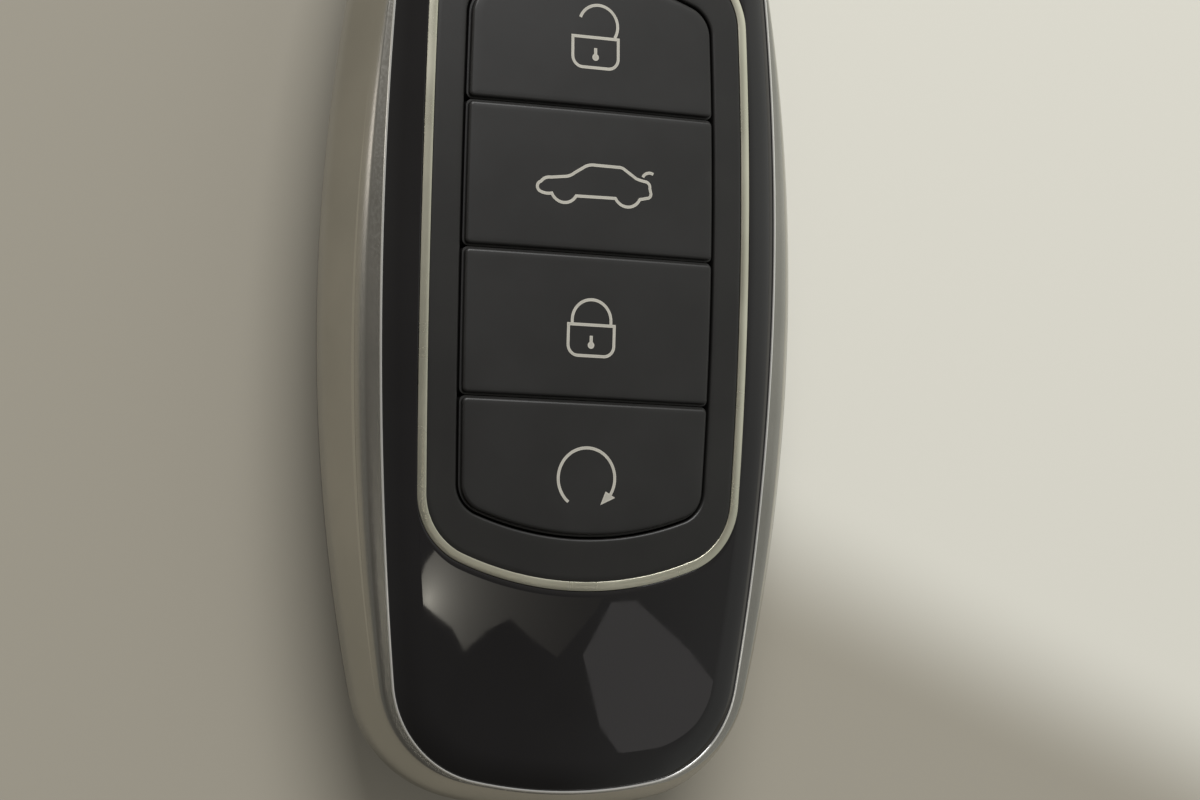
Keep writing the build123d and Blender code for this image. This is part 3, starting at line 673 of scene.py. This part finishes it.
def rounded_crease(below, crease, lip_foot):
    """Rings over the rounded crease between the frame's wall and its crescent strip."""
    crease_steps = 10
    strip_steps = 3
    below, crease, feet = ([Vector(p) for p in ring] for ring in (below, crease, lip_foot))
    starts, ends = [], []
    for low, edge, foot in zip(below, crease, feet):
        down = (low - edge).normalized()
        starts.append(edge + down * (foot - edge).length * crease_wall_share)
        ends.append(edge.lerp(foot, crease_strip_share))
    rings = [[(low + start) / 2 for low, start in zip(below, starts)]]
    for t in (step / crease_steps for step in range(crease_steps + 1)):
        rings.append([
            start * (1 - t) ** 2 + edge * 2 * t * (1 - t) + end * t**2
            for start, edge, end in zip(starts, crease, ends)
        ])
    return rings + between_rings(ends, lip_foot, strip_steps, frame_crown) + [lip_foot]


def side_frame():
    """Plated frame: outer wall, crescent strip and the recess for the cover."""
    wall_steps = 8
    seam = skin(seam_height)
    rim = face_edge.inset(-press_gap)
    rings = [
        flat_ring(seam.inset(frame_wall), seam_height),
        flat_ring(seam.inset(seam_groove), seam_height + press_gap),
        flat_ring(skin(seam_height + seam_groove), seam_height + seam_groove),
    ]
    rings += [frame_wall_ring(step / wall_steps) for step in range(1, wall_steps)]
    lip_foot = crowned_ring(rim.inset(-lip_width), frame_crown)
    rings += rounded_crease(rings[-1], frame_wall_ring(1.0), lip_foot)
    rings.append(crowned_ring(rim, frame_crown))
    rings += [flat_ring(outline, skirt_low) for outline in (rim, seam.inset(frame_wall))]
    piece = ring_piece("side_frame_shell", rings, frame_angle)
    cut(piece, [key_port_block("frame_port")], frame_angle)
    dress(piece, "plated_frame", "case", "side_frame")


def polished_lip():
    """Bright rounded lip of the frame round the cover."""
    steps = 6
    rim = face_edge.inset(-press_gap)
    rings = []
    for angle in (math.pi * step / steps for step in range(steps + 1)):
        outline = rim.inset(-lip_width / 2 * (1 + math.cos(angle)))
        rings.append(crowned_ring(outline, frame_crown, -lip_rise * math.sin(angle)))
    rings += [crowned_ring(outline, frame_crown, lip_rise) for outline in (rim, rim.inset(-lip_width))]
    dress(ring_piece("side_frame_lip", rings), "plated_frame", "case", look="polished_lip")


def key_port_block(name):
    """Block the size of the opening at the top end."""
    plan = rectangle(-port_side, port_inner, port_side, waist.top + 2 * overrun)
    return prism(name, plan, port_low, port_high)


# Rear cover


def rear_cover():
    """Rear pan with a rounded lower wall, the cell door's recess and the release slot."""
    levels = 26
    seam = skin(seam_height)
    rings = [
        flat_ring(seam.inset(frame_wall), seam_height),
        flat_ring(seam.inset(rear_step + seam_groove), seam_height - press_gap),
    ]
    start = math.asin(1 - (seam_height - seam_groove) / waist_height)
    for level in range(levels + 1):
        angle = start + (math.pi / 2 - start) * level / levels
        height = waist_height * (1 - math.sin(angle))
        rings.append(flat_ring(skin(height).inset(rear_step), height))
    underside = len(rings) - 1
    rings += [flat_ring(skin(height).inset(rear_wall), height) for height in (rear_floor, seam_height)]
    size = len(rings[0])
    points = [p for ring in rings for p in ring]
    faces = tube_faces(len(rings), size, closed=True)
    faces[underside * size:(underside + 1) * size] = [
        tuple(range(row * size, (row + 1) * size)) for row in (underside, underside + 1)
    ]
    piece = new_piece("rear_cover_shell", points, faces, pan_angle)
    seat = circle_plan(cell_place, door_radius, door_circle_steps)
    hole = circle_plan(cell_place, door_plug_radius, door_circle_steps)
    cut(piece, [
        prism("door_seat", seat, -overrun, door_recess + door_step),
        prism("door_hole", hole, -overrun, rear_floor + overrun),
        prism("release_slot", release_slot_plan(), -overrun, rear_floor + overrun),
        key_port_block("rear_port"),
    ], pan_angle)
    dress(piece, "rear_black", "case", "rear_cover")


def release_slot_plan():
    """Rounded rectangle of the release button, grown by its clearance."""
    across, along = release_width / 2 + slide_gap, release_length / 2 + slide_gap
    plan = rectangle(
        release_side - across, release_middle - along,
        release_side + across, release_middle + along,
    )
    return rounded_plan(plan, release_corner + slide_gap, steps=8)


# Inlay ring and bezel


def inlay_ring():
    """Bright ring with fine bevels, standing a little proud of the face."""
    top = crown_height + inlay_rise
    inner = inlay_edge.inset(inlay_width)
    rings = [crowned_ring(inlay_edge, crown_height, plate_thickness)]
    rings += bevel_rings(inlay_edge, top, inlay_round)
    rings += bevel_rings(inner, top, inlay_round, side=-1)[::-1]
    rings.append(crowned_ring(inner, crown_height, plate_thickness))
    dress(ring_piece("inlay_ring_bright", rings, ring_angle), "bright_inlay", "case", "inlay_ring")


def button_bezel():
    """Satin panel inside the ring with a rounded edge into the button well."""
    panel_steps = 8
    outer = inlay_edge.inset(inlay_width + press_gap)
    guide = well_edge.inset(-guide_wall)
    flange = inlay_edge.inset(-bezel_flange)
    flange_low = plate_thickness + bezel_flange_thickness
    edge = [
        crowned_ring(well_edge.inset(-inset), crown_height, drop)
        for inset, drop in reversed(rounding(edge_round, edge_round_steps))
    ]
    rings = [crowned_ring(outer, crown_height, plate_thickness)]
    rings += bevel_rings(outer, crown_height, fine_round)
    rings += between_rings(rings[-1], edge[0], panel_steps, crown_height)
    rings += edge
    rings += [flat_ring(outline, guide_height) for outline in (well_edge, guide)]
    rings += [crowned_ring(outline, crown_height, flange_low) for outline in (guide, flange)]
    rings.append(crowned_ring(flange, crown_height, plate_thickness))
    dress(ring_piece("button_bezel_panel", rings), "satin_black", "case", "button_bezel")


# Button caps

button_middles = {
    "unlock": 1.5 * button_pitch,
    "trunk": 0.5 * button_pitch,
    "lock": -0.5 * button_pitch,
    "start": -1.5 * button_pitch,
}
cap_corner = 0.35
cap_edge_length = 0.5


def clipped(points, limit, keep_above):
    """A polygon cut off at one Y."""
    result = []
    for index, here in enumerate(points):
        before = points[index - 1]
        inside = (here[1] >= limit) == keep_above
        was_inside = (before[1] >= limit) == keep_above
        if inside != was_inside:
            share = (limit - before[1]) / (here[1] - before[1])
            result.append((before[0] + (here[0] - before[0]) * share, limit))
        if inside:
            result.append((here[0], here[1]))
    return result


def cap_plan(name):
    """Plan of one cap, with a gap to the well and to the caps beside it."""
    plan = [tuple(p) for p in well_edge.inset(cap_gap).ring()]
    middle = button_middles[name]
    if name != "start":
        plan = clipped(plan, middle - button_pitch / 2 + cap_spacing / 2, True)
    if name != "unlock":
        plan = clipped(plan, middle + button_pitch / 2 - cap_spacing / 2, False)
    return plan


def button_cap(name):
    """Cap with a rounded top edge, a crowned face and a fine step that half closes the gap."""
    face_steps = 16
    cap_crown = crown_height + cap_rise
    plan = dense_plan(rounded_plan(cap_plan(name), cap_corner), cap_edge_length)
    grown = shrunk_plan(plan, -cap_step)
    rings = [raised(grown, cap_base)]
    rings += [laid(outline, cap_crown, cap_step_depth) for outline in (grown, plan)]
    rings += [
        laid(shrunk_plan(plan, inset), cap_crown, drop)
        for inset, drop in rounding(edge_round, edge_round_steps)
    ]
    size = len(plan)
    middle = (0.0, sum(p[1] for p in plan) / size)
    rings += between_rings(rings[-1], [middle] * size, face_steps, cap_crown)
    points = [p for ring in rings for p in ring]
    last, hub = len(points) - size, len(points)
    points += laid([middle], cap_crown)
    faces = tube_faces(len(rings), size, closed=False)
    faces += [(last + step, last + (step + 1) % size, hub) for step in range(size)]
    faces.append(tuple(range(size)))
    piece = new_piece(f"{name}_cap_top", points, faces, cap_angle)
    dress(piece, "cap_black", f"{name}_cap", f"{name}_button")


# Legends

stroke = 0.24
stroke_step = 0.4
legend_depth = 0.06
legend_rise = 0.02
legend_side = 0.08
legend_shifts = {"unlock": -0.24, "trunk": -0.36, "lock": 0.0, "start": -0.33}
padlock_half_width = 1.95
padlock_height = 2.45
padlock_corner = 0.85
padlock_top = 0.14
shackle_radius = 1.65
shackle_leg = 0.35
open_shackle_shift = 0.25
open_shackle_rise = 1.0
open_shackle_start = 160.0
keyhole_radius = 0.28
keyhole_stem = 0.75
keyhole_stem_width = 0.26
car_length = 9.6
car_height = 3.3
car_outline_shares = [  # start and middle of each stretch; no middle means straight
    ((-0.95, -0.49), (-1.00, -0.32)),
    ((-0.94, -0.01), (-0.88, 0.15)),
    ((-0.77, 0.22), None),
    ((-0.50, 0.32), (-0.41, 0.41)),
    ((-0.35, 0.53), None),
    ((-0.17, 0.86), (-0.09, 0.95)),
    ((0.01, 0.97), None),
    ((0.43, 0.96), (0.49, 0.94)),
    ((0.54, 0.87), None),
    ((0.75, 0.48), (0.84, 0.41)),
    ((0.92, 0.37), (0.98, 0.28)),
    ((1.00, 0.06), None),
    ((1.02, -0.17), (1.01, -0.33)),
    ((0.95, -0.43), None),
    ((0.82, -0.52), (0.62, -0.93)),
    ((0.38, -0.56), None),
    ((-0.32, -0.59), (-0.52, -0.95)),
    ((-0.75, -0.54), (-0.86, -0.56)),
]
car_lid_shares = [(0.87, 0.58), (0.95, 0.79), (1.06, 0.76)]
arrow_radius = 2.4
arrow_start = -128.0
arrow_end = -30.0
arrow_head_length = 1.2
arrow_head_half_width = 0.48


def three_point_arc(start, middle, end, steps=12):
    """Points of the arc through three points, its end left out."""
    (ax, ay), (bx, by), (cx, cy) = start, middle, end
    scale = 2 * (ax * (by - cy) + bx * (cy - ay) + cx * (ay - by))
    a, b, c = ax**2 + ay**2, bx**2 + by**2, cx**2 + cy**2
    centre = Vector((
        (a * (by - cy) + b * (cy - ay) + c * (ay - by)) / scale,
        (a * (cx - bx) + b * (ax - cx) + c * (bx - ax)) / scale,
    ))
    first, via, last = (math.atan2(y - centre.y, x - centre.x) for x, y in (start, middle, end))
    forward = (last - first) % (2 * math.pi)
    if (via - first) % (2 * math.pi) > forward:
        forward -= 2 * math.pi
    radius = (Vector(start) - centre).length
    return arc_points(centre, radius, math.degrees(first), math.degrees(first + forward), steps)[:-1]


def stroke_sides(path, closed):
    """The two sides of a stroke along a path, mitred at its bends."""
    arms = [arm * stroke / 2 for arm in mitres(path, legend_least_lean, closed)]
    return [[Vector(p) + side * arm for p, arm in zip(path, arms)] for side in (1, -1)]


# Each legend's function gives its strokes, as whether they are closed and their path, and the
# outlines of its filled shapes


def padlock_strokes():
    """Padlock body, square above and rounded below, and its keyhole."""
    half, high, low = padlock_half_width, padlock_top, padlock_top - padlock_height
    corner = padlock_corner
    body = [(half, high), (-half, high)]
    body += arc_points((corner - half, low + corner), corner, 180.0, 270.0, steps=8)
    body += arc_points((half - corner, low + corner), corner, -90.0, 0.0, steps=8)
    middle = (high + low) / 2
    half_width, half_stem = keyhole_stem_width / 2, keyhole_stem / 2
    lean = math.degrees(math.asin(half_width / keyhole_radius))
    keyhole = arc_points((0.0, middle - half_stem), keyhole_radius, 90.0 + lean, 450.0 - lean, steps=20)
    keyhole += [(half_width, middle + half_stem), (-half_width, middle + half_stem)]
    return [(True, dense_plan(body, stroke_step))], [keyhole]


def lock_paths():
    """Closed padlock, whose shackle stands on both its legs."""
    strokes, fills = padlock_strokes()
    foot = padlock_top + stroke / 2
    bow = arc_points((0.0, padlock_top + shackle_leg), shackle_radius, 0.0, 180.0, steps=28)
    return strokes + [(False, [(shackle_radius, foot), *bow, (-shackle_radius, foot)])], fills


def unlock_paths():
    """Open padlock, whose shackle is raised off its left leg."""
    strokes, fills = padlock_strokes()
    centre = (open_shackle_shift, padlock_top + open_shackle_rise)
    end = -math.degrees(math.asin((open_shackle_rise - stroke / 2) / shackle_radius))
    bow = arc_points(centre, shackle_radius, open_shackle_start, end, steps=32)
    return strokes + [(False, bow)], fills


def trunk_paths():
    """Car seen from its side, with its lid raised."""
    def sized(shares):
        """A place on the car from shares of its half length and half height."""
        return shares[0] * car_length / 2, shares[1] * car_height / 2

    outline = []
    following = car_outline_shares[1:] + car_outline_shares[:1]
    for (start, middle), (end, _) in zip(car_outline_shares, following):
        if middle is None:
            outline.append(sized(start))
        else:
            outline += three_point_arc(sized(start), sized(middle), sized(end))
    lid = [sized(shares) for shares in car_lid_shares]
    return [(True, dense_plan(outline, stroke_step)), (False, three_point_arc(*lid) + lid[-1:])], []


def start_paths():
    """Round arrow that runs clockwise."""
    ring = arc_points((0.0, 0.0), arrow_radius, arrow_start, arrow_end - 360.0, steps=60)
    tip = arrow_end - math.degrees(arrow_head_length / arrow_radius)
    corners = [
        (arrow_radius - arrow_head_half_width, arrow_end),
        (arrow_radius + arrow_head_half_width, arrow_end),
        (arrow_radius, tip),
    ]
    head = [arc_points((0.0, 0.0), radius, angle, angle, steps=1)[0] for radius, angle in corners]
    return [(False, ring)], [head]


legend_paths = {"unlock": unlock_paths, "trunk": trunk_paths, "lock": lock_paths, "start": start_paths}


def button_legend(name):
    """Pale symbol on one cap, following the cap's crown."""
    top = crown_height + cap_rise + legend_rise
    shift = Vector((legend_side, button_middles[name] + legend_shifts[name]))
    points, faces = [], []

    def lay(plan, drop):
        """Adds a plan's points below the symbol's top and gives the number of the first."""
        points.extend(laid([Vector(p) + shift for p in plan], top, drop))
        return len(points) - len(plan)

    strokes, fills = legend_paths[name]()
    for closed, path in strokes:
        left, right = stroke_sides(path, closed)
        count = len(path)
        rows = [lay(left, 0.0), lay(right, 0.0), lay(right, legend_depth), lay(left, legend_depth)]
        for step in range(count if closed else count - 1):
            turn = (step + 1) % count
            for first, second in zip(rows, rows[1:] + rows[:1]):
                faces.append((first + step, first + turn, second + turn, second + step))
        if not closed:
            faces += [tuple(rows), tuple(row + count - 1 for row in rows)]
    for plan in fills:
        size = len(plan)
        upper, lower = lay(plan, 0.0), lay(plan, legend_depth)
        faces += [tuple(range(first, first + size)) for first in (upper, lower)]
        faces += [tuple(upper + corner for corner in face) for face in tube_faces(2, size, closed=False)]
    piece = new_piece(f"{name}_legend_print", points, faces, legend_angle)
    dress(piece, "legend_pale", f"{name}_cap", f"{name}_legend")


# Turned pieces


def lathe(name, y, profile, steps):
    """A closed turned piece about an upright axis on X = 0, from (radius, height) points."""
    points = []
    for radius, height in profile[1:-1]:
        points += raised(circle_plan(y, radius, steps), height)
    rows = len(profile) - 2
    faces = tube_faces(rows, steps, closed=False)
    for row, (_, height) in ((0, profile[0]), (rows - 1, profile[-1])):
        hub = len(points)
        points.append((0.0, y, height))
        faces += [(row * steps + step, row * steps + (step + 1) % steps, hub) for step in range(steps)]
    return new_piece(name, points, faces)


def cell_door():
    """Stepped round door with a rounded rim and a coin slot."""
    radius = door_radius - slide_gap
    plug = door_plug_radius - slide_gap
    step_top = door_recess + door_step
    rim = [(radius - inset, door_recess + drop) for inset, drop in rounding(2 * fine_round, steps=5)]
    profile = [(0.0, door_recess), *reversed(rim), (radius, step_top), (plug, step_top)]
    profile += [(plug, rear_floor), (door_pad_radius, rear_floor)]
    profile += [(door_pad_radius, door_pad_top), (0.0, door_pad_top)]
    piece = lathe("cell_door_disc", cell_place, profile, door_circle_steps)
    across, along = coin_slot_length / 2, coin_slot_width / 2
    plan = rectangle(-across, cell_place - along, across, cell_place + along)
    cut(piece, [prism("coin_slot", plan, -overrun, door_recess + coin_slot_depth)])
    dress(piece, "rear_black", "cell_hatch", "cell_door")


def dome(name):
    """Silicone dome under its button; the real one flattens as the button goes down."""
    low, high = dome_base, dome_base + dome_height
    slope = (dome_radius - dome_top_radius) / dome_height
    profile = [(0.0, low), (dome_radius, low), (dome_radius - slope * dome_skirt, low + dome_skirt)]
    profile += [(dome_top_radius + slope * fine_round * 2, high - fine_round * 2)]
    profile += [(dome_top_radius - fine_round, high), (0.0, high)]
    piece = lathe(f"{name}_dome_skin", button_middles[name], profile, steps=48)
    dress(piece, "silicone_grey", "case", f"{name}_dome")
    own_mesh(piece)


def release_spring():
    """Coil spring of round wire under the release button."""
    steps, around = 160, 12
    low, high = (Vector(corner).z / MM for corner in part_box("release_spring"))
    wire = spring_wire / 2
    foot = Vector((release_side, release_middle, low + wire))
    rise = high - low - 2 * wire
    coil = spring_radius - wire
    rings = []
    for share in (step / steps for step in range(steps + 1)):
        angle = 2 * math.pi * spring_turns * share
        outward = Vector((math.cos(angle), math.sin(angle), 0.0))
        forward = Vector((-math.sin(angle), math.cos(angle), rise / (2 * math.pi * spring_turns * coil)))
        upward = outward.cross(forward.normalized())
        place = foot + outward * coil + Vector((0.0, 0.0, rise * share))
        rings.append([
            place + (outward * math.cos(turn) + upward * math.sin(turn)) * wire
            for turn in (2 * math.pi * i / around for i in range(around))
        ])
    piece = solid_piece("release_spring_coil", rings, ring_angle)
    dress(piece, "spring_steel", "case", "release_spring")
    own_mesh(piece)


# Emergency key


def key_head():
    """Head with well rounded edges, the key ring hole, the blade's slot and the pin's hole."""
    lean = math.degrees(math.asin(head_half_width / head_end_radius))
    centre = (0.0, head_end - head_end_radius)
    arc = arc_points(centre, head_end_radius, 90.0 - lean, 90.0 + lean, steps=24)
    plan = [(head_half_width, head_inner_end), *arc, (-head_half_width, head_inner_end)]
    plan = dense_plan(rounded_plan(plan, head_corner, least_turn=30.0), head_edge_length)
    edge = rounding(head_edge_radius, steps=7)
    rings = [raised(shrunk_plan(plan, inset), head_base + drop) for inset, drop in reversed(edge)]
    rings += [raised(shrunk_plan(plan, inset), head_top - drop) for inset, drop in edge]
    piece = solid_piece("key_head_grip", rings, pan_angle)
    side = blade_half_width + press_gap
    slot = rectangle(-side, head_inner_end - overrun, side, blade_root + press_gap)
    ring_hole = circle_plan(ring_hole_place, ring_hole_radius, steps=64)
    pin_hole = circle_plan(pin_place, pin_radius + press_gap, steps=48)
    cut(piece, [
        prism("ring_hole", ring_hole, 0.0, crown_height),
        prism("pin_hole", pin_hole, 0.0, crown_height),
        prism("blade_slot", slot, blade_base - press_gap, blade_top + press_gap),
    ], pan_angle)
    dress(piece, "plated_frame", "emergency_key", "key_head")


front_cover()
side_frame()
polished_lip()
rear_cover()
inlay_ring()
button_bezel()
for button_name in button_middles:
    button_cap(button_name)
    button_legend(button_name)
    dome(button_name)
cell_door()
release_spring()
key_head()


# Camera, floor and lights

camera_yaw = 22.406
camera_pitch = 4.494
camera_roll = 1.145
camera_distance = 237.86
camera_target = Vector((1.163, -11.509, 14.0))
camera_lens = 90.363
camera_clip = (0.01, 20.0)
sensor_width = 36.0


def place_camera():
    """The photograph's viewpoint."""
    data = bpy.data.cameras.new("camera")
    data.lens = camera_lens
    data.sensor_width = sensor_width
    data.clip_start, data.clip_end = camera_clip
    turns = ((-camera_yaw, "Y"), (camera_pitch, "X"), (camera_roll, "Z"))
    place = Matrix.Translation(camera_target * MM)
    for angle, axis in turns:
        place @= Matrix.Rotation(math.radians(angle), 4, axis)
    camera = new_object("camera", data)
    camera.matrix_world = place @ Matrix.Translation((0.0, 0.0, camera_distance * MM))
    bpy.context.scene.camera = camera


key_place = Vector((-30.0, 800.0, 800.0))
key_size = (800.0, 500.0)
key_watts = 12.0


def place_key_light():
    """A large soft lamp beyond the key ring end, facing the fob."""
    data = bpy.data.lights.new("key", "AREA")
    data.shape = "RECTANGLE"
    data.size, data.size_y = (side * MM for side in key_size)
    data.energy = key_watts
    light = new_object("key", data)
    light.location = key_place * MM
    light.rotation_mode = "QUATERNION"
    light.rotation_quaternion = key_place.to_track_quat("Z", "Y")
    light.visible_camera = False


floor_reach = 1500.0
floor_depth = 0.05
floor_rough = (0.5, 0.6)
# Painted shadow: the first floor colour below is the shade painted on the table to the left and to the
# lower right, the next one is the lit table, and the edges further down blend the painted shade into the
# lit table
floor_painted_shade = (0.335, 0.31, 0.255)
floor_light = (0.765, 0.752, 0.678)
floor_glow = (0.055, 0.0515, 0.043)  # seen by the camera and in reflections alone
floor_shadow_edges = [((1.0, 0.0, 0.0), -24.0, 24.0), ((0.383, 0.924, 0.0), -19.0, -5.0)]


def floor_finish():
    """Pale table with a painted soft shadow that darkens it to the left and to the lower right."""
    made = finish("floor_pale_painted_shadow", floor_painted_shade, floor_painted_shade, floor_rough, tone_scale=6.0, specular=0.3)
    tree = made.node_tree
    shares = []
    for direction, low, high in floor_shadow_edges:
        along = worked_out(tree, "DOT_PRODUCT", place_output(tree), direction)
        shares.append(ramp(tree, along, (low * MM, high * MM), kind="SMOOTHSTEP"))
    both = worked_out(tree, "MULTIPLY", *shares)
    rays = add_node(tree, "ShaderNodeLightPath").outputs
    seen = rays["Is Camera Ray"]
    for kind in ("Is Glossy Ray", "Is Transmission Ray"):
        seen = worked_out(tree, "MAXIMUM", seen, rays[kind])
    # The base colour blends from the painted shadow to the lit table along those edges
    fill(tree, tree.nodes["Principled BSDF"], {
        "Base Color": mix(tree, both, (*floor_painted_shade, 1.0), (*floor_light, 1.0)),
        "Emission Color": (*floor_glow, 1.0),
        "Emission Strength": seen,
    })
    return made


def place_floor():
    """Smooth pale table under the fob."""
    corners = rectangle(-floor_reach, -floor_reach, floor_reach, floor_reach)
    floor = new_piece("floor", raised(corners, -floor_depth), [(0, 1, 2, 3)])
    floor.data.materials.append(floor_finish())


room_dim = (0.165, 0.157, 0.142)
room_bright = (0.64, 0.65, 0.61)
room_left = (0.26, 0.255, 0.235)
room_right_span = (0.30, 0.74)
room_left_span = (-0.45, -0.95)
room_near_span = (-0.05, 0.21)
room_near_share, room_far_share = 0.62, 1.12


def light_the_room():
    """Dim room light that is brighter from the right-hand side and from beyond the key ring end."""
    world = bpy.data.worlds.new("world")
    bpy.context.scene.world = world
    world.use_nodes = True
    tree = world.node_tree
    direction = place_output(tree, "Generated")
    parts = add_node(tree, "ShaderNodeSeparateXYZ", {"Vector": direction}).outputs
    colour = (*room_dim, 1.0)
    for side, span in ((room_bright, room_right_span), (room_left, room_left_span)):
        colour = mix(tree, ramp(tree, parts["X"], span, kind="SMOOTHSTEP"), colour, (*side, 1.0))
    strength = ramp(tree, parts["Y"], room_near_span, room_near_share, room_far_share, kind="SMOOTHSTEP")
    fill(tree, tree.nodes["Background"], {"Color": colour, "Strength": strength})


glow_reach = 20.0
glow_fading = 1.6


def glow(name, colour, radiance, hot_spot):
    """A glow for a panel seen in reflections, even or fading away from a hot spot."""
    made = bpy.data.materials.new(name)
    made.use_nodes = True
    tree = made.node_tree
    tree.nodes.clear()
    if hot_spot:
        spot = Vector(hot_spot) * MM
        away = worked_out(tree, "DISTANCE", place_output(tree), spot)
        share = worked_out(tree, "MULTIPLY_ADD", away, 1 / (glow_reach * MM), 1.0)
        fading = worked_out(tree, "POWER", share, -glow_fading)
        radiance = worked_out(tree, "MULTIPLY", fading, radiance)
    emission = add_node(tree, "ShaderNodeEmission", {"Strength": radiance, "Color": (*colour, 1.0)})
    add_node(tree, "ShaderNodeOutputMaterial", {"Surface": emission.outputs["Emission"]})
    made.cycles.emission_sampling = "NONE"
    return made


ceiling_height = 700.0
ceiling_step = 1.0
wide_panel = [
    (290, -153), (316, -120), (343, -119), (410, -152), (470, -190),
    (446, -212), (391, -224), (344, -221), (315, -199),
]
fading_panel = [
    (125, -118), (132, -98), (146, -84), (202, -88), (330, -80), (300, -125), (263, -154),
    (236, -142), (214, -130), (193, -137), (173, -150), (160, -136), (140, -126),
]
fading_spot = (137, -119, ceiling_height)
window_side = -300.0
window_panels = [(62.0, 10.0, 80.0, 125.0), (84.0, 20.0, 104.0, 110.0)]  # low Y and Z, high Y and Z

# Colour and radiance of the panels
wide_light = ((1.0, 0.96, 0.93), 0.66)
fading_light = ((1.0, 0.95, 0.82), 7.5)
window_light = ((1.0, 0.94, 0.88), 1.9)


def place_panel(name, corners, colour, radiance, hot_spot=None):
    """A flat glowing panel that only reflections show."""
    panel = new_piece(name, corners, [tuple(range(len(corners)))])
    panel.data.materials.append(glow(name, colour, radiance, hot_spot))
    panel.visible_camera = False
    panel.visible_diffuse = False
    panel.visible_shadow = False


def place_panels():
    """Dim panels whose mirror images lie on the gloss cover and on the frame's crease."""
    place_panel("panel_wide", raised(wide_panel, ceiling_height + ceiling_step), *wide_light)
    place_panel("panel_fading", raised(fading_panel, ceiling_height), *fading_light, fading_spot)
    for number, corners in enumerate(window_panels, 1):
        window = [(window_side, y, z) for y, z in rectangle(*corners)]
        place_panel(f"panel_window_{number}", window, *window_light)


place_camera()
place_floor()
place_panels()
place_key_light()
light_the_room()
bpy.context.scene.view_settings.view_transform = "Standard"
